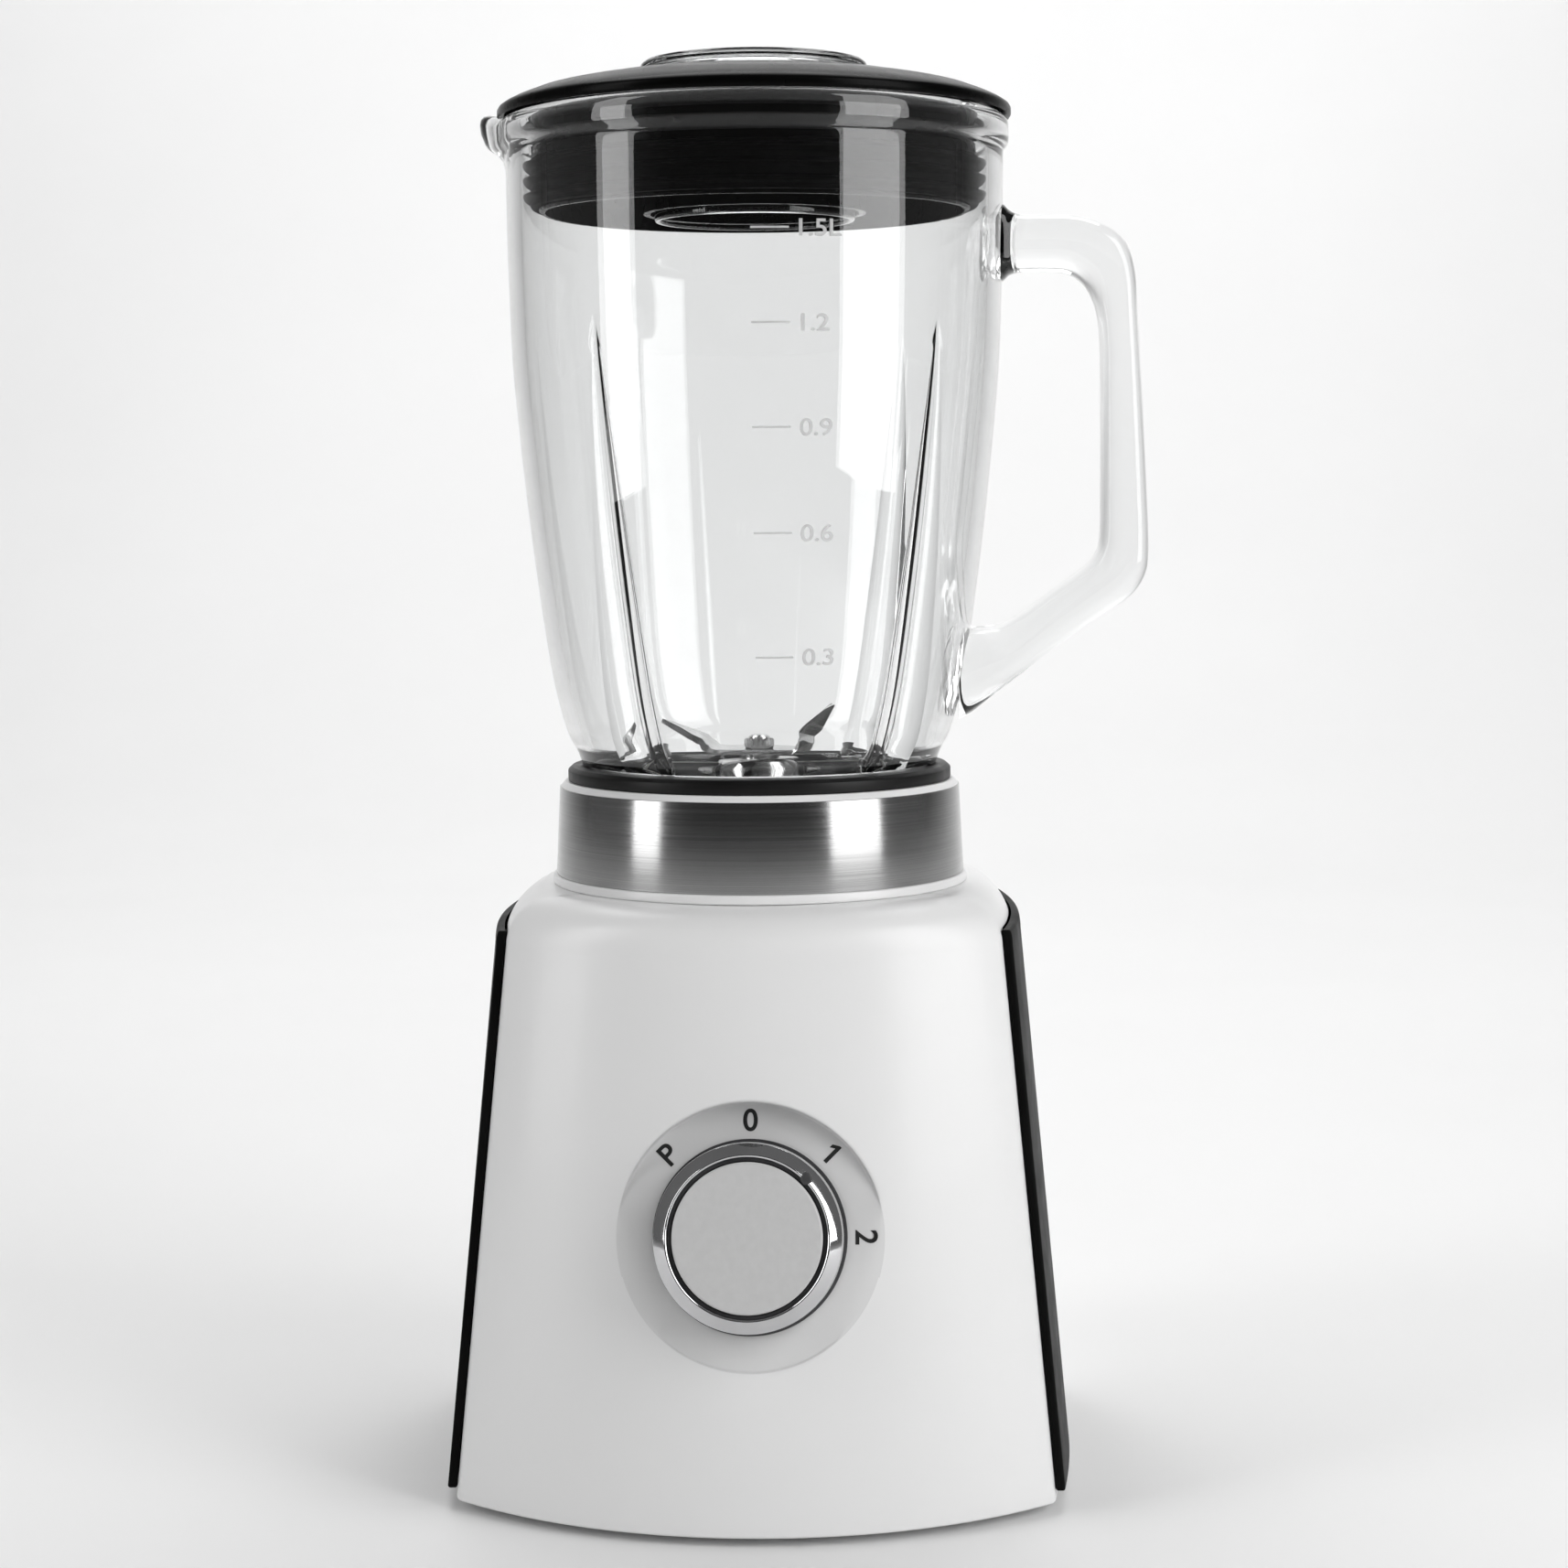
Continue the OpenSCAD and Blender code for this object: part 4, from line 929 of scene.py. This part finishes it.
def make_blade_nut():
    nut = [(0, 196.6), (3.7, 196.6), (4.1, 196.8), (4.1, 198.3), (3.6, 198.7), (3.0, 198.75), (2.9, 199.1),
           (2.2, 199.55), (1.1, 199.7), (0, 199.7)]
    piece = lathe("blade_cap_nut", nut, 6 * 12, 20)
    # The lower part's points move in onto six flats.
    for v in piece.data.vertices:
        if v.co.z < 198.5 * MM and v.co.xy.length > 3 * MM:
            a = math.atan2(v.co.y, v.co.x)
            flat = math.cos(math.pi / 6) / math.cos((a % (math.pi / 3)) - math.pi / 6)
            v.co.x *= flat
            v.co.y *= flat
    shade(piece.data, 20)
    finish_piece(piece, "blades", BLADE_STEEL, ["blade_nut"])


# ---------- glass jar ----------

JAR = [(48.4, 191.9), (49.7, 195.4), (52.1, 200), (54.9, 210), (56.8, 220), (59.6, 240), (62, 260),
       (64, 280), (65.6, 299), (66.2, 316), (66.6, 333), (66.7, 350)]
GLASS_T = 4.0
RIM_Z = 364.4
RIB_TOP_Z = 308.6
RIB_LOW_Z = 193.5
RIB_AZIMUTHS = [math.radians(a) for a in (-37.5, 49.5, 139.5, 229.5)]
ABOVE_RIBS_Z = 400.0
SPOUT_REACH = 5.8
SPOUT_INNER_REACH = 0.6
SPOUT_RISE = 2.0
SPOUT_HALF_ANGLE = math.radians(12)
SPOUT_Z = 348.0
SPOUT_LIFT_Z = 351.0
SPOUT_RISE_Z = 357.0


def smooth_curve(knots, z):
    """Catmull-Rom value through knots of (value, z) at height z."""
    zs = [k[1] for k in knots]
    if z <= zs[0]:
        return knots[0][0]
    if z >= zs[-1]:
        return knots[-1][0]
    i = max(k for k in range(len(zs) - 1) if zs[k] <= z)
    t = (z - zs[i]) / (zs[i + 1] - zs[i])

    def slope(k):
        ahead = min(k + 1, len(knots) - 1)
        behind = max(k - 1, 0)
        return (knots[ahead][0] - knots[behind][0]) / (zs[ahead] - zs[behind])

    gap = zs[i + 1] - zs[i]
    h00, h10 = 2 * t**3 - 3 * t**2 + 1, t**3 - 2 * t**2 + t
    h01, h11 = -2 * t**3 + 3 * t**2, t**3 - t**2
    return h00 * knots[i][0] + h10 * gap * slope(i) + h01 * knots[i + 1][0] + h11 * gap * slope(i + 1)


def jar_radius(z):
    return smooth_curve(JAR, z)


RIB_COLUMNS = 24
GAP_COLUMNS = 76


def rib_share(z):
    """0 at the rib's pointed tip, 1 at its foot."""
    return max(0.0, min(1.0, (RIB_TOP_Z - z) / (RIB_TOP_Z - RIB_LOW_Z)))


def jar_columns(z):
    """Angles of the jar's columns at height z, and each one's place across a rib, or None between ribs."""
    half = math.atan((0.35 + 8.6 * rib_share(z) ** 0.85) / 50)
    out = []
    for rib, azimuth in enumerate(RIB_AZIMUTHS):
        middle = azimuth - math.pi / 2
        ahead = RIB_AZIMUTHS[rib + 1] if rib < 3 else RIB_AZIMUTHS[0] + TAU
        for k in range(RIB_COLUMNS):
            s = 2 * k / RIB_COLUMNS - 1
            out.append((middle + s * half, s))
        for k in range(GAP_COLUMNS):
            t = k / GAP_COLUMNS
            out.append((middle + half + (ahead - azimuth - 2 * half) * t, 1.0 if k == 0 else None))
    return out


def glass_section():
    """The wall's section from the neck's outside, up, over the rim and down the inside: (r, z, side)."""
    neck = [(40, 181.9), (42.4, 181.5), (45.6, 181.5), (46.0, 181.9), (46.0, 191.4), (47.6, 191.9)]
    section = [(r, z, "neck") for r, z in rounded(neck, 0.4, 3, sharp=(0, 5))[1:-1]]
    z = 191.95
    while z < 352:
        section.append((jar_radius(z), z, "outer"))
        z += 1.2 if z < 215 else 3.0
    bead = [
        (66.7, 354.0), (66.8, 355.6), (67.4, 356.5), (68.0, 357.3), (68.2, 358.4), (68.2, 360.4),
        (68.2, 362.2), (67.9, 363.4), (67.2, 364.1), (66.2, RIM_Z), (64.9, 364.2), (63.7, 363.7),
        (63.0, 362.8), (62.75, 361.4), (62.7, 359.5), (62.7, 357.0), (62.7, 354.0),
    ]
    section += [(r, z, "rim") for r, z in bead]
    z = 351.0
    while z > 196:
        section.append((jar_radius(z) - GLASS_T, z, "inner"))
        z -= 1.2 if z < 215 else 3.0
    throat = [(44.6, 194.2), (43.4, 192.4), (42.5, 190.4), (42.1, 188.5), (42.0, 185.0), (42.0, 182.0)]
    section += [(r, z, "inner") for r, z in throat]
    return section


def make_glass():
    section = glass_section()
    rings = []
    for r, z, side in section:
        ring = []
        column_z = z if side == "inner" else ABOVE_RIBS_Z
        for angle, across in jar_columns(column_z):
            radius, height = r, z
            if side == "inner" and across is not None:
                share = rib_share(z)
                foot = smoothstep((z - 184) / 8)
                crest = (1 - across * across) ** 0.8
                radius -= (0.25 * smoothstep(share * 12) + 6.6 * share**1.15) * crest * foot
            if z > SPOUT_Z:
                off = angle % TAU - math.pi
                lip = math.cos(min(abs(off) / SPOUT_HALF_ANGLE, 1) * math.pi / 2) ** 2
                lift = smoothstep((z - SPOUT_LIFT_Z) / 11)
                radius += (SPOUT_REACH + (SPOUT_INNER_REACH if r < 66 else 0)) * lip * lift
                height += SPOUT_RISE * lip * smoothstep((z - SPOUT_RISE_Z) / 7)
            ring.append((radius * math.cos(angle), radius * math.sin(angle), height))
        rings.append(ring)
    points, faces = skin(rings)
    jar = new_piece("glass_jug", points, faces, 40)
    return jar


HANDLE_STATIONS = [
    # inner edge x, z; outer edge x, z; half depth
    ((62.8, 320.4), (62.8, 342.4), 11.5),
    ((66.4, 321.0), (66.4, 341.4), 10.9),
    ((68.8, 322.8), (68.8, 339.4), 9.8),
    ((72.0, 323.5), (72.0, 338.5), 9.2),
    ((78.0, 323.5), (79.0, 338.5), 9.0),
    ((83.5, 323.0), (87.0, 338.0), 9.0),
    ((87.4, 320.8), (94.4, 335.4), 9.0),
    ((90.2, 317.0), (99.4, 331.0), 9.0),
    ((92.0, 311.5), (101.8, 323.6), 9.0),
    ((92.8, 303.0), (102.6, 313.0), 9.0),
    ((93.0, 284.0), (104.1, 288.0), 9.0),
    ((93.0, 264.0), (105.3, 264.0), 9.0),
    ((92.8, 252.6), (105.8, 250.0), 9.0),
    ((91.6, 248.0), (105.0, 242.6), 9.0),
    ((88.6, 244.4), (101.0, 236.4), 9.0),
    ((81.0, 238.9), (92.7, 230.9), 9.0),
    ((72.7, 232.9), (80.4, 222.2), 9.2),
    ((66.6, 229.2), (70.4, 214.6), 9.8),
    ((62.6, 228.4), (64.0, 209.8), 10.6),
    ((58.4, 228.0), (58.4, 205.4), 11.4),
    ((54.5, 226.0), (54.5, 203.4), 11.8),
]


def handle_section(inner, outer, half, steps=40):
    """A superellipse between the inner and outer edges, half depth in Y."""
    middle = (Vector((inner[0], 0, inner[1])) + Vector((outer[0], 0, outer[1]))) / 2
    reach = (Vector((outer[0], 0, outer[1])) - Vector((inner[0], 0, inner[1]))) / 2
    power = 2 / 3.4
    ring = []
    for k in range(steps):
        a = TAU * k / steps
        c, s = math.cos(a), math.sin(a)
        u = math.copysign(abs(c) ** power, c)
        v = math.copysign(abs(s) ** power, s)
        ring.append(tuple(middle + reach * u + Vector((0, half, 0)) * v))
    return ring


def catmull(a, b, c, d, t):
    return 0.5 * (2 * b + (c - a) * t + (2 * a - 5 * b + 4 * c - d) * t * t + (3 * b - a - 3 * c + d) * t**3)


def make_handle():
    rows = [(*inner, *outer, half) for inner, outer, half in HANDLE_STATIONS]
    rings = []
    per = 5
    for i in range(len(rows) - 1):
        quad = [rows[max(i - 1, 0)], rows[i], rows[i + 1], rows[min(i + 2, len(rows) - 1)]]
        for k in range(per):
            v = [catmull(*[q[m] for q in quad], k / per) for m in range(5)]
            rings.append(handle_section(v[0:2], v[2:4], v[4]))
    last = rows[-1]
    rings.append(handle_section(last[0:2], last[2:4], last[4]))
    points, faces = skin(rings, close_rings=False, cap=True)
    return new_piece("handle_part", points, faces, 60)


def on_jar(mesh, z_middle, azimuth_mm, raise_mm):
    """Wraps a flat mesh in millimetres round the jar's front. Its X runs round the jar and its Y upwards."""
    for v in mesh.vertices:
        z = z_middle + v.co.y
        r = jar_radius(z) + raise_mm + v.co.z
        a = -math.pi / 2 + (azimuth_mm + v.co.x) / jar_radius(z_middle)
        v.co = Vector((r * math.cos(a), r * math.sin(a), z)) * MM


def tick_mesh(length, height, depth):
    mesh = bpy.data.meshes.new("tick")
    steps = 12
    outline = [(-0.5, -0.5), (0.5, -0.5), (0.5, 0.5), (-0.5, 0.5)]
    rings = []
    for k in range(steps + 1):
        x = length * (k / steps - 0.5)
        rings.append([(x, h * height, d * depth) for h, d in outline])
    points, faces = skin(rings, close_rings=False, cap=True)
    mesh.from_pydata(points, [], faces)
    return mesh


SCALE_MARKS = [("1.5L", 330.4), ("1.2", 307.1), ("0.9", 281.2), ("0.6", 254.7), ("0.3", 223.1)]


def make_scale():
    for words, z in SCALE_MARKS:
        tag = words.replace(".", "_")
        tick = tick_mesh(9.6, 0.5, 0.5)
        on_jar(tick, z, 6.7, 0.05)
        digits = text_mesh("scale_" + tag, words, 6.0, 0.5, 0.05, 1.2)
        on_jar(digits, z, 18.0 if words[-1] != "L" else 19.5, 0.05)
        for name, mesh in (("scale_line_" + tag, tick), ("scale_number_" + tag, digits)):
            piece = bpy.data.objects.new(name, mesh)
            bpy.context.scene.collection.objects.link(piece)
            finish_piece(piece, "jar", GLASS_MARK)


# ---------- lid and measuring cap ----------

LID_TOP_Z = 374.5
LID_R = 68.8


def make_lid():
    outline = [
        (28.2, 339.5), (28.2, 373.9), (28.8, LID_TOP_Z), (31, LID_TOP_Z), (37.5, 374.45), (43.6, 374.2),
        (47.6, 373.65), (51.3, 372.9), (54.6, 372.3), (57.8, 371.6), (60.0, 371.0), (61.8, 370.3),
        (63.7, 369.6), (65.4, 368.9), (67.2, 368.0), (68.4, 367.2), (LID_R, 366.5), (LID_R, 365.1),
        (68.4, 364.45), (59.9, 364.45), (59.5, 364.0), (59.5, 353.4), (58, 353), (58, 340.1),
        (57.4, 339.5), (56.4, 339.5), (56.4, 368.2), (50, 370.7), (43, 371.8), (30.0, 372.3), (30.0, 339.5),
    ]
    lid = lathe("lid_shell", outline, 200, 34)
    finish_piece(lid, "lid", LID_BLACK, ["lid"])
    seal = [(58, 353), (58, 340.5), (60.2, 340.5)]
    for z in (342.8, 347, 351):
        seal += [(60.2, z - 1.1), (62.2, z - 0.4), (62.2, z + 0.4), (60.2, z + 1.1)]
    seal += [(60.2, 353)]
    sleeve = lathe("lid_sealing_sleeve", rounded(seal, 0.5, 3, sharp=(0, 1)), 180, 40)
    finish_piece(sleeve, "lid", SEAL_RUBBER, ["lid_seal"])


def make_cap():
    top = 379.8
    outline = [
        (0, top), (28.6, top), (29.7, top - 0.25), (30.3, top - 0.9), (30.3, top - 1.5), (29.7, top - 1.8),
        (29.6, top - 2.5), (30.2, top - 2.8), (30.2, LID_TOP_Z + 0.3), (29.8, LID_TOP_Z + 0.02),
        (27.6, LID_TOP_Z + 0.02), (27.4, LID_TOP_Z - 0.4), (27.0, 338.1), (26.7, 337.5), (25.7, 337.5),
        (25.4, 338.1), (25.8, 375.6), (24.8, 377.2), (0, 377.2),
    ]
    cap = lathe("measuring_cap_body", rounded(outline, 0.3, 3, sharp=(0, 18)), 180, 34)
    finish_piece(cap, "cap", CLEAR, ["measuring_cap"])


# ---------- pieces kept from the frame ----------


def dress_frame_nodes():
    finishes = {
        GREY_PLASTIC: ["jar_well"],
        WHITE: ["base_plate"],
        RUBBER: ["rubber_feet", "cord_inlet", "motor_mounts", "spindle_seal"],
        ZINC: ["base_screws", "well_screws", "switch_nut", "upper_bearing", "lower_bearing", "brush_springs",
               "motor_bolts", "motor_shaft", "switch_spindle"],
        IVORY: ["switch_body", "cooling_fan"],
        CAPACITOR: ["suppression_capacitor"],
        LAMINATIONS: ["motor_stator", "armature_core"],
        COPPER: ["field_coils", "armature_windings", "commutator"],
        ALLOY: ["upper_motor_bracket", "lower_motor_bracket"],
        BRASS: ["brush_holders", "blade_bush"],
        CARBON: ["carbon_brushes"],
        BLACK_SATIN: ["drive_coupler", "driven_coupler"],
        BLADE_STEEL: ["blade_spindle", "blade_spacer"],
    }
    for material, names in finishes.items():
        for name in names:
            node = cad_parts[name]
            node.data.materials.clear()
            node.data.materials.append(material)


# ---------- build ----------

make_camera()
make_world()
make_lights()
make_stage()
bpy.context.scene.view_settings.view_transform = "Standard"

WHITE = white_plastic()
# Darker white for the dial recess floor: painted shade, not a different plastic.
DIAL_SHADED_WHITE = white_plastic("dial_plastic_painted_shade", 0.69, 0.73, 0.3, 0.4)
LID_BLACK = black_satin("lid_plastic", 0.22, 0.32, 0.004, 0.05, 0.0012)
BLACK_SATIN = black_satin(gloss=0.2, shade=0.004)
PANEL_BLACK = black_satin("panel_plastic", 0.35, 0.45, 0.004, 0.02, 0.004)
BLACK_INK = plain("dial_ink", (0.01, 0.01, 0.01), (0.02, 0.02, 0.02), 0.4, 0.55)
RUBBER = rubber()
SEAL_RUBBER = rubber("seal_rubber", (0.002, 0.002, 0.002), (0.004, 0.004, 0.004), 0.08)
SILICONE = plain("white_silicone", (0.7, 0.7, 0.68), (0.78, 0.78, 0.76), 0.45, 0.6)
BRUSHED = brushed_band()
CHROME = metal("chrome", (0.6, 0.6, 0.61), (0.68, 0.68, 0.69), 0.03, 0.08)
KNOB_SATIN = plain("knob_satin_paint", (0.55, 0.55, 0.55), (0.58, 0.58, 0.58), 0.36, 0.46, 500, 0.004)
KNOB_DARK = plain("knob_dark_plastic", (0.03, 0.03, 0.032), (0.05, 0.05, 0.052), 0.35, 0.5)
BLADE_STEEL = metal("blade_steel", (0.55, 0.55, 0.55), (0.7, 0.7, 0.7), 0.12, 0.24, 40, 0.004, (1, 8, 1))
GREY_PLASTIC = plain("grey_plastic", (0.16, 0.16, 0.165), (0.2, 0.2, 0.205), 0.4, 0.55)
ZINC = metal("zinc_steel", (0.5, 0.51, 0.53), (0.64, 0.65, 0.67), 0.2, 0.38)
IVORY = plain("ivory_nylon", (0.66, 0.61, 0.49), (0.74, 0.69, 0.58), 0.4, 0.55)
CAPACITOR = plain("capacitor_case", (0.55, 0.4, 0.06), (0.62, 0.47, 0.1), 0.2, 0.32)
LAMINATIONS = laminations()
COPPER = copper_wire()
ALLOY = metal("cast_alloy", (0.42, 0.42, 0.44), (0.56, 0.56, 0.58), 0.4, 0.6, 90, 0.03)
BRASS = metal("brass", (0.6, 0.42, 0.16), (0.74, 0.56, 0.26), 0.2, 0.35)
CARBON = plain("pressed_carbon", (0.02, 0.02, 0.02), (0.04, 0.04, 0.04), 0.55, 0.75)
GLASS = jar_glass()
GLASS_MARK = scale_glass()
CLEAR = clear_plastic()

make_housing()
make_side_panel("side_panel_right", "right_side_panel", 0.0)
make_side_panel("side_panel_left", "left_side_panel", math.pi)
make_collar()
make_dial_labels()
make_knob()
make_blade_unit()
make_blade("blade_upper", "upper_blade", 195.4, 10.0, 12.0, (18.0, math.radians(29), math.radians(-14)),
           (15.5, math.radians(60), math.radians(-35)), math.radians(-8))
make_blade("blade_lower", "lower_blade", 192.0, 12.0, 11.0, (15.0, math.radians(-7), 0.0),
           (15.0, math.radians(-7), 0.0), math.radians(62))
make_blade_nut()
glass = join_solids(make_glass(), make_handle())
shade(glass.data, 40)
finish_piece(glass, "jar", GLASS, ["glass_jar", "jar_handle"])
make_scale()
make_lid()
make_cap()
dress_frame_nodes()
